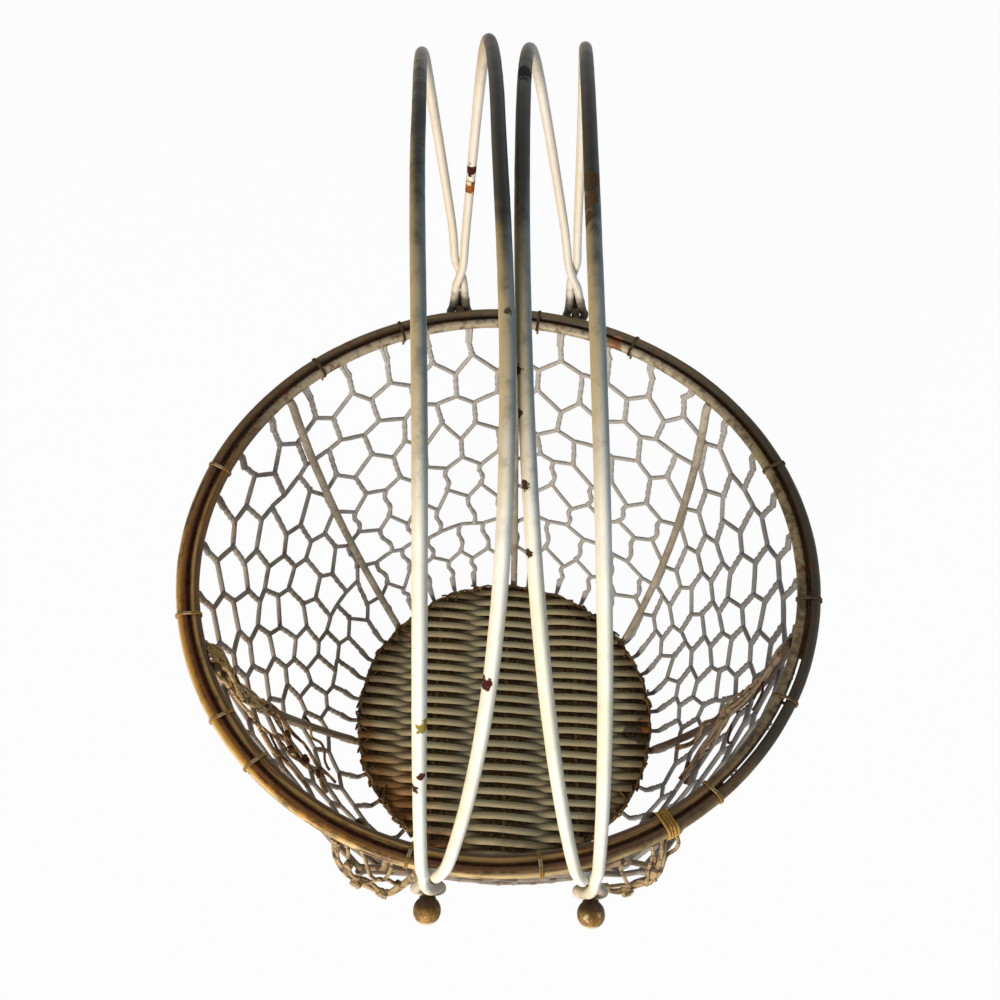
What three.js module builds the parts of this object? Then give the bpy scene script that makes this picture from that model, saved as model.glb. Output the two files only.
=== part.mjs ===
// Wire egg basket: two rim rings, seven bent ribs, a woven bottom on a hoop, hexagonal wire
// netting round the ribs, and two swing handles, each of two wires with looped ends.
// Millimetres, +Z up. The origin is on the floor under the middle of the rim; the studs that
// the handles turn on lie in front (-Y) and behind (+Y).

import * as THREE from 'three';

// Rim: the outer ring carries the studs, the inner ring lies a little lower inside it
const RIM_RADIUS = 150;
const RIM_HEIGHT = 235;
const RIM_WIRE = 5;
const RING_GAP = 0.85;
const RING_SLANT = 20;

// Bottom: a hoop on the floor with a woven disc on top, a little to the right of the rim
const BASE_SHIFT = 6;
const HOOP_RADIUS = 94;
const HOOP_WIRE = 4.5;
const DISC_OVERHANG = 3.5;
const DISC_THICKNESS = 8;
const DISC_EDGE_HEIGHT = 6.6;
const WEAVE_HOLLOW = 3.7;
const REED_PITCH = 3.92;
const REED_SLOPE = -0.045;
const STAKE_SPACING = 46.5;
const STAKE_SHIFT = 0.5;

// Ribs: each is bent outward to a bulging wall and turns in under the disc at its foot
const RIB_WIRE = 4.6;
const RIB_SLACK = 1.2;
const WALL_CURVE = 2.25;
const RIB_STEPS = 15;
const RIBS = [
  { name: 'rib_back_right', rimAngle: 40, footAngle: 35 },
  { name: 'rib_back', rimAngle: 88, footAngle: 87 },
  { name: 'rib_back_left', rimAngle: 142, footAngle: 139 },
  { name: 'rib_left', rimAngle: 206, footAngle: 190 },
  { name: 'rib_front_left', rimAngle: 247, footAngle: 243 },
  { name: 'rib_front_right', rimAngle: 298, footAngle: 294 },
  { name: 'rib_right', rimAngle: 341, footAngle: 349 },
];

// Netting: one panel for each bay, so many half meshes wide, stretched flat between its ribs by
// a share; a wire tie lashes its top edge to both rings at each count of half meshes in ties
const NET_PANELS = [
  { name: 'net_back_right', halfMeshes: 9, flatness: 0.4, ties: [4, 8] },
  { name: 'net_back_left', halfMeshes: 11, flatness: 0.4, ties: [5, 9] },
  { name: 'net_left', halfMeshes: 12, flatness: 0.3, ties: [4, 10] },
  { name: 'net_front_left', halfMeshes: 8, flatness: 0.4, ties: [2, 4] },
  { name: 'net_front', halfMeshes: 10, flatness: 0.8, ties: [2, 6] },
  { name: 'net_front_right', halfMeshes: 8, flatness: 0.4, ties: [2, 6] },
  { name: 'net_right', halfMeshes: 12, flatness: 0.4, ties: [2, 8] },
];
const NET_ROWS = 8;
const NET_POINT = 0.18;
const NET_WIRE = 1.6;
const NET_TWIST_WIDTH = 2.6;
const TIE_WIRE = 1.8;
const POUCH_ANGLES = [249, 296];
const POUCH_SPREAD = 11;
const POUCH_DEPTH = 90;
const POUCH_BULGE = 10;

// Handles: two wires each, crossed in a half turn above an eye that hangs on two studs. A
// handle leans inward so far at its top.
const STUD_SPACING = 65.4;
const STUD_OFFSET = 7.2;
const STUD_WIRE = 4.6;
const BALL_DIAMETER = 11.2;
const BALL_BORE_DEPTH = 3;
const HANDLE_WIRE = 4.5;
const HANDLE_BULGE = 7.9;
const HANDLE_HEIGHT = 240;
const HANDLE_SQUARENESS = 2.3;
const EYE_CLEARANCE = 0.5;
const EYE_RIM_GAP = 0.35;
const EYE_BALL_GAP = 0.75;
const NECK_HEIGHT = 11;
const NECK_LENGTH = 18;
const SPLIT_HEIGHT = 30;
const TWIST_GAP = 0.45;
const HANDLES = [
  { name: 'left', side: -1, topShift: 10.9, frontWarp: 6.5, backWarp: 4.8, apexHalfSpread: 11.7,
    outerShare: 0.973, innerShare: 1.004 },
  { name: 'right', side: 1, topShift: 26.3, frontWarp: 0, backWarp: 0, apexHalfSpread: 9.8,
    outerShare: 0.992, innerShare: 0.998 },
];

// Gap that touching pieces keep
const SEAT = 0.3;

const WIRE_SIDES = 8;
const TIE_SIDES = 5;

const PAINT = {
  rim: { color: 0x8a6a3a, roughness: 0.7, metalness: 0.35 },
  rib: { color: 0xb3a894, roughness: 0.7, metalness: 0.1 },
  handle: { color: 0xeee8d6, roughness: 0.45, metalness: 0.05 },
  net: { color: 0x8f877c, roughness: 0.6, metalness: 0.5 },
  wicker: { color: 0x9a8862, roughness: 0.9, metalness: 0 },
  brass: { color: 0x9c7a42, roughness: 0.5, metalness: 0.5 },
};

const basket = new THREE.Group();

const radians = THREE.MathUtils.degToRad;

function addMesh(parent, name, geometry, paint) {
  const mesh = new THREE.Mesh(geometry, new THREE.MeshStandardMaterial(paint));
  mesh.name = name;
  parent.add(mesh);
  return mesh;
}

// Smooth curve whose steps follow its own points, so that tight bends get the finer steps
class WirePath extends THREE.CatmullRomCurve3 {
  getPointAt(u, target) {
    return this.getPoint(u, target);
  }

  getTangentAt(u, target) {
    return this.getTangent(u, target);
  }
}

function roundSection(diameter, sides) {
  const corners = [];
  for (let i = 0; i < sides; i += 1) {
    const angle = (i + 0.5) * 2 * Math.PI / sides;
    corners.push(new THREE.Vector2(Math.cos(angle), Math.sin(angle)).multiplyScalar(diameter / 2));
  }
  return new THREE.Shape(corners);
}

function wireGeometry(points, diameter, sides = WIRE_SIDES) {
  const path = new WirePath(points, false, 'centripetal');
  const steps = points.length - 1;
  return new THREE.ExtrudeGeometry(roundSection(diameter, sides), { extrudePath: path, steps });
}

// Rim rings
const innerRingRadius = RIM_RADIUS - (RIM_WIRE + RING_GAP) * Math.cos(radians(RING_SLANT));
const innerRingHeight = RIM_HEIGHT - (RIM_WIRE + RING_GAP) * Math.sin(radians(RING_SLANT));

function addRimRing(name, radius, height) {
  const ring = new THREE.TorusGeometry(radius, RIM_WIRE / 2, WIRE_SIDES, 56);
  addMesh(basket, name, ring, PAINT.rim).position.z = height;
}

addRimRing('outer_rim_ring', RIM_RADIUS, RIM_HEIGHT);
addRimRing('inner_rim_ring', innerRingRadius, innerRingHeight);

// Bottom hoop, whose eight-sided section lies flat on the floor, and the woven disc on it
const hoopSectionRadius = HOOP_WIRE / 2 / Math.cos(Math.PI / 8);
const discRadius = HOOP_RADIUS + DISC_OVERHANG;
const discBottom = HOOP_WIRE + SEAT;
const discTop = discBottom + DISC_THICKNESS;

function addHoop() {
  const section = [];
  for (let i = 0; i <= 8; i += 1) {
    const angle = (i + 0.5) * Math.PI / 4;
    const radius = HOOP_RADIUS + hoopSectionRadius * Math.cos(angle);
    section.push(new THREE.Vector2(radius, hoopSectionRadius * Math.sin(angle)));
  }
  const hoop = new THREE.LatheGeometry(section, 40).rotateX(Math.PI / 2);
  addMesh(basket, 'base_hoop', hoop, PAINT.rib).position.set(BASE_SHIFT, 0, HOOP_WIRE / 2);
}

// The disc's reeds lie in rows, a little off the X axis, that pass over one stake and under the
// next, and the row beside them the other way about. A row's vertices stand on the disc's edge
// and on the stakes.
function addWovenDisc() {
  const rowsOut = Math.floor(discRadius / REED_PITCH);
  const stakesOut = Math.ceil(discRadius / STAKE_SPACING);
  const stretch = 1 + REED_SLOPE ** 2;
  const upper = [];
  const lower = [];
  const rows = [];
  for (let row = -rowsOut; row <= rowsOut; row += 1) {
    const rowY = row * REED_PITCH;
    const middle = -REED_SLOPE * rowY / stretch;
    const reach = Math.sqrt(discRadius ** 2 * stretch - rowY ** 2) / stretch;
    const vertices = [];
    let lastX = null;
    for (let stake = -stakesOut; stake <= stakesOut; stake += 1) {
      const fromMiddle = STAKE_SHIFT + stake * STAKE_SPACING - middle;
      const inside = Math.abs(fromMiddle) < reach - REED_PITCH / 2;
      const x = middle + (inside ? fromMiddle : Math.sign(fromMiddle) * reach);
      if (x !== lastX) {
        const y = rowY + REED_SLOPE * x;
        const bound = !inside || Math.abs(row) === rowsOut;
        const over = (row + stake) % 2 !== 0;
        const top = over ? discTop : discTop - WEAVE_HOLLOW;
        const bottom = over ? discBottom + WEAVE_HOLLOW : discBottom;
        upper.push(BASE_SHIFT + x, y, bound ? discBottom + DISC_EDGE_HEIGHT : top);
        lower.push(BASE_SHIFT + x, y, bound ? discBottom : bottom);
      }
      vertices.push(upper.length / 3 - 1);
      lastX = x;
    }
    rows.push(vertices);
  }
  const count = upper.length / 3;
  const faces = wovenFaces(rows);
  const indices = faces.flatMap(([a, b, c]) => [a, b, c, a + count, c + count, b + count]);
  for (const [a, b] of openEdges(faces)) {
    indices.push(a, a + count, b + count, a, b + count, b);
  }
  const disc = new THREE.BufferGeometry();
  disc.setAttribute('position', new THREE.Float32BufferAttribute([...upper, ...lower], 3));
  disc.setIndex(indices);
  disc.computeVertexNormals();
  addMesh(basket, 'woven_base', disc, PAINT.wicker);
}

// Triangles between the rows, each pair split along the line that joins its two low corners
function wovenFaces(rows) {
  const faces = [];
  for (let row = 1; row < rows.length; row += 1) {
    for (let stake = 1; stake < rows[row].length; stake += 1) {
      const [a, b] = [rows[row - 1][stake - 1], rows[row - 1][stake]];
      const [d, c] = [rows[row][stake - 1], rows[row][stake]];
      const split = (row + stake) % 2 === 0 ? [[a, b, c], [a, c, d]] : [[a, b, d], [b, c, d]];
      faces.push(...split.filter((face) => new Set(face).size === 3));
    }
  }
  return faces;
}

// Edges that belong to one triangle only
function openEdges(faces) {
  const edges = faces.flatMap(([a, b, c]) => [[a, b], [b, c], [c, a]]);
  const known = new Set(edges.map(([a, b]) => `${a},${b}`));
  return edges.filter(([a, b]) => !known.has(`${b},${a}`));
}

addHoop();
addWovenDisc();

// The wall: ribs and netting follow one bulging profile between the rim and the bottom,
// about a middle line that leans from the rim's middle to the bottom's
const ribTop = innerRingHeight - RIM_WIRE / 2 - SEAT;
const ribTopRadius = innerRingRadius - RIM_WIRE / 2 - RIB_SLACK / 2;
const ribFootRadius = discRadius + RIB_WIRE / 2 + RIB_SLACK;
const ribBendHeight = RIB_WIRE / 2 + HOOP_WIRE;

function wallRadius(z) {
  const fall = THREE.MathUtils.clamp((ribTop - z) / (ribTop - ribBendHeight), 0, 1);
  return ribTopRadius - (ribTopRadius - ribFootRadius) * fall ** WALL_CURVE;
}

function wallPoint(angle, radius, z) {
  const shift = BASE_SHIFT * (1 - z / RIM_HEIGHT);
  return new THREE.Vector3(shift + radius * Math.cos(angle), radius * Math.sin(angle), z);
}

// A rib comes down the wall and its foot turns in to the outside of the hoop
function ribPoints(rib) {
  const points = [];
  for (let i = 0; i <= RIB_STEPS; i += 1) {
    const share = i / RIB_STEPS;
    const z = THREE.MathUtils.lerp(ribTop, ribBendHeight, share);
    const angle = radians(THREE.MathUtils.lerp(rib.rimAngle, rib.footAngle, share));
    points.push(wallPoint(angle, wallRadius(z), z));
  }
  const footAngle = radians(rib.footAngle);
  const footEnd = HOOP_RADIUS + hoopSectionRadius + SEAT;
  const bend = ribFootRadius - footEnd;
  const footHeight = RIB_WIRE / 2 + 0.1;
  points.push(wallPoint(footAngle, footEnd + 0.82 * bend, footHeight + 0.35 * HOOP_WIRE));
  points.push(wallPoint(footAngle, footEnd + 0.5 * bend, footHeight));
  points.push(wallPoint(footAngle, footEnd, footHeight));
  return points;
}

for (const rib of RIBS) {
  addMesh(basket, rib.name, wireGeometry(ribPoints(rib), RIB_WIRE), PAINT.rib);
}

// Netting profile: outside the ribs, from under the inner ring to beside the disc
const netOffset = RIB_WIRE / 2 + SEAT + NET_WIRE / 2;
const netTop = ribTop - NET_WIRE / 2;
const netBottom = ribBendHeight;

class NetProfile extends THREE.Curve {
  getPoint(t, target = new THREE.Vector3()) {
    const z = THREE.MathUtils.lerp(netTop, netBottom, t);
    return target.set(wallRadius(z) + netOffset, 0, z);
  }
}

const netProfile = new NetProfile();

// The bays between one rib and the next, round the rim
const bays = NET_PANELS.map((panel, i) => (
  { ...panel, rib: RIBS[i], nextRib: RIBS[(i + 1) % RIBS.length] }
));

// Angle at a share of the way across a bay and down the wall, as the ribs beside it slant
function bayAngle({ rib, nextRib }, across, down) {
  const wrap = nextRib.rimAngle < rib.rimAngle ? 360 : 0;
  const start = THREE.MathUtils.lerp(rib.rimAngle, rib.footAngle, down);
  const end = THREE.MathUtils.lerp(nextRib.rimAngle, nextRib.footAngle, down) + wrap;
  return radians(THREE.MathUtils.lerp(start, end, across));
}

// Between the ribs the net is stretched flatter than the rim's circle, by this share of its
// radius, at a share of the way across a bay of this width and a share of the way down
function flattening(bay, across, width, down) {
  const bow = bay.flatness * (1 - Math.cos(width / 2)) * 4 * across * (1 - across);
  return Math.max(bow, 0) * Math.sin(Math.PI * down);
}

// Where the net is bunched below the rim in front it stands out from the ribs
function pouch(angle, z) {
  const depth = RIM_HEIGHT - z;
  if (depth > POUCH_DEPTH) {
    return 0;
  }
  let bulge = 0;
  for (const pouchAngle of POUCH_ANGLES) {
    const turn = (THREE.MathUtils.radToDeg(angle) - pouchAngle) / POUCH_SPREAD;
    bulge += Math.exp(-turn * turn);
  }
  return POUCH_BULGE * bulge * Math.sin(Math.PI * depth / POUCH_DEPTH) ** 2;
}

// A point on a bay's net, at a share of the way down and a height off its middle surface
function netPoint(bay, angle, down, lift) {
  const share = THREE.MathUtils.clamp(down, 0, 1);
  const onProfile = netProfile.getPointAt(share);
  const along = netProfile.getTangentAt(share);
  const overrun = (down - share) * netProfile.getLength();
  const start = bayAngle(bay, 0, share);
  const width = bayAngle(bay, 1, share) - start;
  const flat = onProfile.x * flattening(bay, (angle - start) / width, width, share);
  const middle = onProfile.x - flat + pouch(angle, onProfile.z);
  const radius = middle + overrun * along.x - lift * along.z;
  return wallPoint(angle, radius, onProfile.z + overrun * along.z + lift * along.x);
}

// A flat network of bars with mitred joints, bent on to the wall. Nodes hold an angle and a
// share of the way down; bars hold their two nodes and their width.
class BarNetwork {
  constructor(bay) {
    this.bay = bay;
    this.nodes = [];
    this.positions = [];
    this.indices = [];
  }

  addNode(angle, down) {
    this.nodes.push({ angle, down, bars: [] });
    return this.nodes.length - 1;
  }

  addBar(from, to, width) {
    this.nodes[from].bars.push({ other: to, width });
    this.nodes[to].bars.push({ other: from, width });
  }

  // Direction of each bar at its node, in millimetres round the wall and up it
  aimBars(node) {
    const length = netProfile.getLength();
    node.radius = netProfile.getPointAt(node.down).x;
    for (const bar of node.bars) {
      const other = this.nodes[bar.other];
      const aim = new THREE.Vector2((other.angle - node.angle) * node.radius,
        (node.down - other.down) * length);
      bar.direction = aim.normalize();
      bar.normal = new THREE.Vector2(-aim.y, aim.x);
    }
    node.bars.sort((a, b) => a.direction.angle() - b.direction.angle());
  }

  // Corner between a bar and the next one round its node
  static corner(bar, next) {
    const turn = bar.direction.cross(next.direction);
    if (Math.abs(turn) < 0.25) {
      return bar.normal.clone().multiplyScalar((bar.width + next.width) / 4);
    }
    const x = (bar.width * next.normal.y + next.width * bar.normal.y) / 2 / turn;
    const y = -(next.width * bar.normal.x + bar.width * next.normal.x) / 2 / turn;
    return new THREE.Vector2(x, y);
  }

  // Vertex at an offset along the wall and a lift off it from a node; returns its index
  addVertex(node, offset, lift) {
    const angle = node.angle + offset.x / node.radius;
    const down = node.down - offset.y / netProfile.getLength();
    this.positions.push(...netPoint(this.bay, angle, down, lift).toArray());
    return this.positions.length / 3 - 1;
  }

  addQuad(a, b, c, d) {
    this.indices.push(a, b, c, a, c, d);
  }

  // A bar's section is a square on its corner: its outer and inner edges end in one vertex
  // each at the node, and it shares its side corners with the bars beside it
  placeVertices(node) {
    this.aimBars(node);
    const count = node.bars.length;
    const middle = new THREE.Vector2();
    node.outer = this.addVertex(node, middle, NET_WIRE / 2);
    node.inner = this.addVertex(node, middle, -NET_WIRE / 2);
    if (count === 1) {
      const [bar] = node.bars;
      const half = bar.normal.clone().multiplyScalar(bar.width / 2);
      bar.left = this.addVertex(node, half, 0);
      bar.right = this.addVertex(node, half.negate(), 0);
      this.addQuad(node.outer, bar.left, node.inner, bar.right);
      return;
    }
    node.bars.forEach((bar, i) => {
      const next = node.bars[(i + 1) % count];
      bar.left = this.addVertex(node, BarNetwork.corner(bar, next), 0);
      next.right = bar.left;
    });
  }

  // Four faces along a bar, from its own node to the node at its other end
  addBarFaces(node, bar, other, back) {
    this.addQuad(bar.right, back.left, other.outer, node.outer);
    this.addQuad(node.outer, other.outer, back.right, bar.left);
    this.addQuad(bar.left, back.right, other.inner, node.inner);
    this.addQuad(node.inner, other.inner, back.left, bar.right);
  }

  geometry() {
    for (const node of this.nodes) {
      this.placeVertices(node);
    }
    this.nodes.forEach((node, index) => {
      for (const bar of node.bars.filter((one) => one.other > index)) {
        const other = this.nodes[bar.other];
        this.addBarFaces(node, bar, other, other.bars.find((back) => back.other === index));
      }
    });
    const geometry = new THREE.BufferGeometry();
    geometry.setAttribute('position', new THREE.Float32BufferAttribute(this.positions, 3));
    geometry.setIndex(this.indices);
    geometry.computeVertexNormals();
    return geometry;
  }
}

// One bay of hexagonal netting. The twisted sides of the meshes run down the wall, and between
// one row of them and the next, half a mesh aside, single wires go round in a zigzag.
function panelGeometry(bay, phase) {
  const { halfMeshes } = bay;
  const net = new BarNetwork(bay);
  const endGap = (NET_TWIST_WIDTH / 2 + SEAT) / ribFootRadius;
  const isPeak = (column, row) => (column + row + phase) % 2 === 0;

  // The far end of each row stops short of the next panel's first twist, on the same rib
  function addNodeAt(column, row) {
    const down = row / NET_ROWS;
    const last = bayAngle(bay, 1, down) - endGap;
    return net.addNode(Math.min(bayAngle(bay, column / halfMeshes, down), last), down);
  }

  let above = [];
  for (let row = 0; row <= NET_ROWS; row += 1) {
    const nodes = [];
    const point = row === 0 || row === NET_ROWS ? 0 : NET_POINT;
    for (let column = 0; column <= halfMeshes; column += 1) {
      nodes.push(addNodeAt(column, row + (isPeak(column, row) ? -point : point)));
      if (column > 0) {
        net.addBar(nodes[column - 1], nodes[column], NET_WIRE);
      }
      if (row > 0 && isPeak(column, row) && column < halfMeshes) {
        net.addBar(above[column], nodes[column], NET_TWIST_WIDTH);
      }
    }
    above = nodes;
  }
  return net.geometry();
}

let phase = 0;
for (const bay of bays) {
  addMesh(basket, bay.name, panelGeometry(bay, phase), PAINT.net);
  phase = (phase + bay.halfMeshes) % 2;
}

// Studs: pins under the outer ring, each with a drilled ball pushed on its outer end
const pinHeight = RIM_HEIGHT - RIM_WIRE / 2 - SEAT - STUD_WIRE / 2;
const eyePlane = RIM_RADIUS + RIM_WIRE / 2 + EYE_RIM_GAP + HANDLE_WIRE / 2;
const ballPlane = eyePlane + HANDLE_WIRE / 2 + EYE_BALL_GAP + BALL_DIAMETER / 2;
const ballBore = STUD_WIRE / 2 + SEAT;
const ballMouth = Math.sqrt((BALL_DIAMETER / 2) ** 2 - ballBore ** 2);
const pinEnd = ballPlane - ballMouth + BALL_BORE_DEPTH - SEAT;

function ballGeometry() {
  const outline = [
    new THREE.Vector2(0, BALL_BORE_DEPTH - ballMouth),
    new THREE.Vector2(ballBore, BALL_BORE_DEPTH - ballMouth),
  ];
  const mouthAngle = -Math.asin(ballMouth / (BALL_DIAMETER / 2));
  const arcSteps = 7;
  for (let i = 0; i <= arcSteps; i += 1) {
    const angle = THREE.MathUtils.lerp(mouthAngle, Math.PI / 2, i / arcSteps);
    const radius = i === arcSteps ? 0 : BALL_DIAMETER / 2 * Math.cos(angle);
    outline.push(new THREE.Vector2(radius, BALL_DIAMETER / 2 * Math.sin(angle)));
  }
  return new THREE.LatheGeometry(outline, 12);
}

function addStud(end, handle) {
  const x = STUD_OFFSET + handle.side * STUD_SPACING / 2;
  const back = end === 'back';
  const stud = new THREE.Group();
  stud.position.set(x, 0, pinHeight);
  stud.rotation.z = back ? 0 : Math.PI;
  const nearestX = Math.max(Math.abs(x) - STUD_WIRE / 2, 0);
  const seatRadius = innerRingRadius + RIM_WIRE / 2 + SEAT;
  const pinStart = Math.sqrt(seatRadius ** 2 - nearestX ** 2);
  const pin = new THREE.CylinderGeometry(STUD_WIRE / 2, STUD_WIRE / 2, pinEnd - pinStart, 12);
  addMesh(stud, `pin_${end}_${handle.name}`, pin, PAINT.rim).position.y = (pinStart + pinEnd) / 2;
  addMesh(stud, `ball_${end}_${handle.name}`, ballGeometry(), PAINT.brass).position.y = ballPlane;
  basket.add(stud);
}

// Handle wires, in the handle's own frame: the pins' line is the Y axis and +Z is up the
// handle. A wire starts under the front pin, goes half round it, crosses the other wire in
// the neck, and spreads from it along the arch to the same at the back.
const eyeRadius = STUD_WIRE / 2 + EYE_CLEARANCE + HANDLE_WIRE / 2;
const pairHalf = (HANDLE_WIRE + TWIST_GAP) / 2;
const neckTop = NECK_HEIGHT + NECK_LENGTH / 2;
const handleReach = eyePlane + HANDLE_BULGE;
const archStart = radians(12);
const archSteps = 22;
const legSteps = 3;

function archReach(t) {
  return handleReach * Math.sign(Math.cos(t)) * Math.abs(Math.cos(t)) ** (2 / HANDLE_SQUARENESS);
}

function archHeight(t, apexHeight) {
  return apexHeight * Math.sin(t) ** (2 / HANDLE_SQUARENESS);
}

// Distance of a wire from the middle of its handle
function spread(handle, height, apexHeight) {
  const share = Math.max((height - SPLIT_HEIGHT) / (apexHeight - SPLIT_HEIGHT), 0);
  return pairHalf + (handle.apexHalfSpread - pairHalf) * Math.sin(share * Math.PI / 2);
}

// Both wires of a bent handle lean inward by this in front, and outward at the back
function warp(handle, point, apexHeight) {
  const share = Math.max(point.z - eyeRadius, 0) / (apexHeight - eyeRadius);
  const t = Math.asin(Math.min(share, 1) ** (HANDLE_SQUARENESS / 2));
  const amount = point.y < 0 ? handle.frontWarp : -handle.backWarp;
  return -handle.side * amount * Math.sin(2 * t);
}

// Front end of one wire, from its tip to the foot of the arch; side is the side it has in the
// arch, and outward is how it passes the other wire in the neck
function wireEnd(side, outward) {
  const points = [];
  const tip = Math.PI - SEAT / eyeRadius;
  for (const turn of [1, 0.96, 0.8, 0.64, 0.48, 0.32]) {
    const x = -side * eyeRadius * Math.sin(tip * turn);
    points.push(new THREE.Vector3(x, -eyePlane, eyeRadius * Math.cos(tip * turn)));
  }
  for (const share of [-0.5, 0, 0.5, 1]) {
    const angle = share * Math.PI / 2;
    const height = NECK_HEIGHT + share * NECK_LENGTH / 2;
    const y = -eyePlane - outward * (pairHalf + SEAT / 2) * Math.cos(angle);
    points.push(new THREE.Vector3(side * pairHalf * Math.sin(angle), y, height));
  }
  return points;
}

function handleWirePoints(handle, side) {
  const apexHeight = HANDLE_HEIGHT * (side === handle.side ? handle.outerShare : handle.innerShare);
  const front = wireEnd(side, side * handle.side);
  for (let i = 1; i < legSteps; i += 1) {
    const height = THREE.MathUtils.lerp(neckTop, archHeight(archStart, apexHeight), i / legSteps);
    const bow = (archReach(archStart) - eyePlane) * Math.sin(i / legSteps * Math.PI / 2);
    front.push(new THREE.Vector3(side * spread(handle, height, apexHeight), -eyePlane - bow, height));
  }
  const points = front.map((point) => point.clone());
  for (let i = 0; i <= archSteps; i += 1) {
    const t = THREE.MathUtils.lerp(archStart, Math.PI - archStart, i / archSteps);
    const height = archHeight(t, apexHeight);
    points.push(new THREE.Vector3(side * spread(handle, height, apexHeight), -archReach(t), height));
  }
  for (const point of front.reverse()) {
    points.push(new THREE.Vector3(point.x, -point.y, point.z));
  }
  for (const point of points) {
    point.x += warp(handle, point, apexHeight);
  }
  return points;
}

for (const handle of HANDLES) {
  addStud('front', handle);
  addStud('back', handle);
  const arch = new THREE.Group();
  arch.position.set(STUD_OFFSET + handle.side * STUD_SPACING / 2, 0, pinHeight);
  arch.rotation.y = -handle.side * Math.asin(handle.topShift / HANDLE_HEIGHT);
  const wires = { outer: handle.side, inner: -handle.side };
  for (const [name, side] of Object.entries(wires)) {
    const wire = wireGeometry(handleWirePoints(handle, side), HANDLE_WIRE);
    addMesh(arch, `${handle.name}_handle_${name}_wire`, wire, PAINT.handle);
  }
  basket.add(arch);
}

// A tie runs once round both rings and the net's edge, and its ends lie side by side below
function tieGeometry(angle) {
  const reach = SEAT + TIE_WIRE / 2;
  const edgeRadius = wallRadius(netTop) + netOffset;
  const lashed = [
    { r: RIM_RADIUS, z: RIM_HEIGHT, reach: RIM_WIRE / 2 + reach },
    { r: innerRingRadius, z: innerRingHeight, reach: RIM_WIRE / 2 + reach },
    { r: edgeRadius, z: netTop, reach: NET_WIRE / 2 + reach },
  ];
  const points = [];
  const steps = 12;
  for (let i = 0; i <= steps; i += 1) {
    const aim = 2 * Math.PI * (i / steps - 0.25);
    const [r, z] = [Math.cos(aim), Math.sin(aim)];
    const support = (item) => item.r * r + item.z * z + item.reach;
    const outermost = lashed.reduce((best, item) => (support(item) > support(best) ? item : best));
    const advance = (i / steps - 0.5) * (TIE_WIRE + SEAT);
    const radius = outermost.r + outermost.reach * r;
    const point = new THREE.Vector3(radius, advance, outermost.z + outermost.reach * z);
    points.push(point.applyAxisAngle(new THREE.Vector3(0, 0, 1), angle));
  }
  return wireGeometry(points, TIE_WIRE, TIE_SIDES);
}

const tieAngles = bays.flatMap((bay) => bay.ties.map((place) => bayAngle(bay, place / bay.halfMeshes, 0)));
tieAngles.forEach((angle, i) => {
  addMesh(basket, `rim_tie_${String(i + 1).padStart(2, '0')}`, tieGeometry(angle), PAINT.rib);
});

export default basket;
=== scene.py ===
import math
import random

import bmesh
import bpy
from mathutils import Matrix, Vector, noise


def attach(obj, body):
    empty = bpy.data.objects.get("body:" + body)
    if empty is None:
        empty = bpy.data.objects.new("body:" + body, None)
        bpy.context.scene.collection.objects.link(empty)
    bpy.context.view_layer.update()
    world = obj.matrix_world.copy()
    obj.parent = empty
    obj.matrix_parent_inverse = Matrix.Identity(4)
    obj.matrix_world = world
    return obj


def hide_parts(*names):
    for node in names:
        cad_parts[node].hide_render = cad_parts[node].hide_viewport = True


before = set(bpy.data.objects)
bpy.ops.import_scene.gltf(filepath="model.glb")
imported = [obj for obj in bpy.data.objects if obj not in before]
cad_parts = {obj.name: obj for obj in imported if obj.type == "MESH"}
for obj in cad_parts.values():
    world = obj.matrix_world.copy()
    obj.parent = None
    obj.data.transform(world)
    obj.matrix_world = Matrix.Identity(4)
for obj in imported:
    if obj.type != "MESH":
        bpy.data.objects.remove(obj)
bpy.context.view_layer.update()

scene = bpy.context.scene

# Rim rings
# Two rings of 5 mm steel wire, bent round and butt welded, the inner one a little lower inside
# the outer. Their gold-brown paint has gone rusty, and the rust collects between the rings. The
# paint also carries painted highlights toward the lamp, painted shade away from it and between
# the rings, and painted light where the rings face the lamp at the back.

RIM_RADIUS = 0.150
RIM_HEIGHT = 0.235
RIM_WIRE = 0.005
RING_GAP = 0.00085
RING_SLANT = math.radians(20)
INNER_RADIUS = RIM_RADIUS - (RIM_WIRE + RING_GAP) * math.cos(RING_SLANT)
INNER_HEIGHT = RIM_HEIGHT - (RIM_WIRE + RING_GAP) * math.sin(RING_SLANT)
BETWEEN_RINGS = (RIM_RADIUS + INNER_RADIUS) / 2
RING_POINTS = 240
RING_DRAWN = RIM_WIRE * 0.98  # leaves room for the lumps of the paint


class Nodes:
    """Adds nodes to a material's or a Geometry Nodes tree. Sockets take numbers or links."""

    def __init__(self, tree):
        self.tree = tree

    def add(self, kind, sockets=(), output=0, **settings):
        node = self.tree.nodes.new(kind)
        for name, value in settings.items():
            setattr(node, name, value)
        for name, value in dict(sockets).items():
            self.feed(node.inputs[name], value)
        return Link(self, node.outputs[output]) if node.outputs else node

    def feed(self, socket, value):
        if isinstance(value, Link):
            self.tree.links.new(value.socket, socket)
        else:
            socket.default_value = value

    def maths(self, operation, *values, clamp=False):
        sockets = dict(enumerate(values))
        return self.add("ShaderNodeMath", sockets, operation=operation, use_clamp=clamp)


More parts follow.
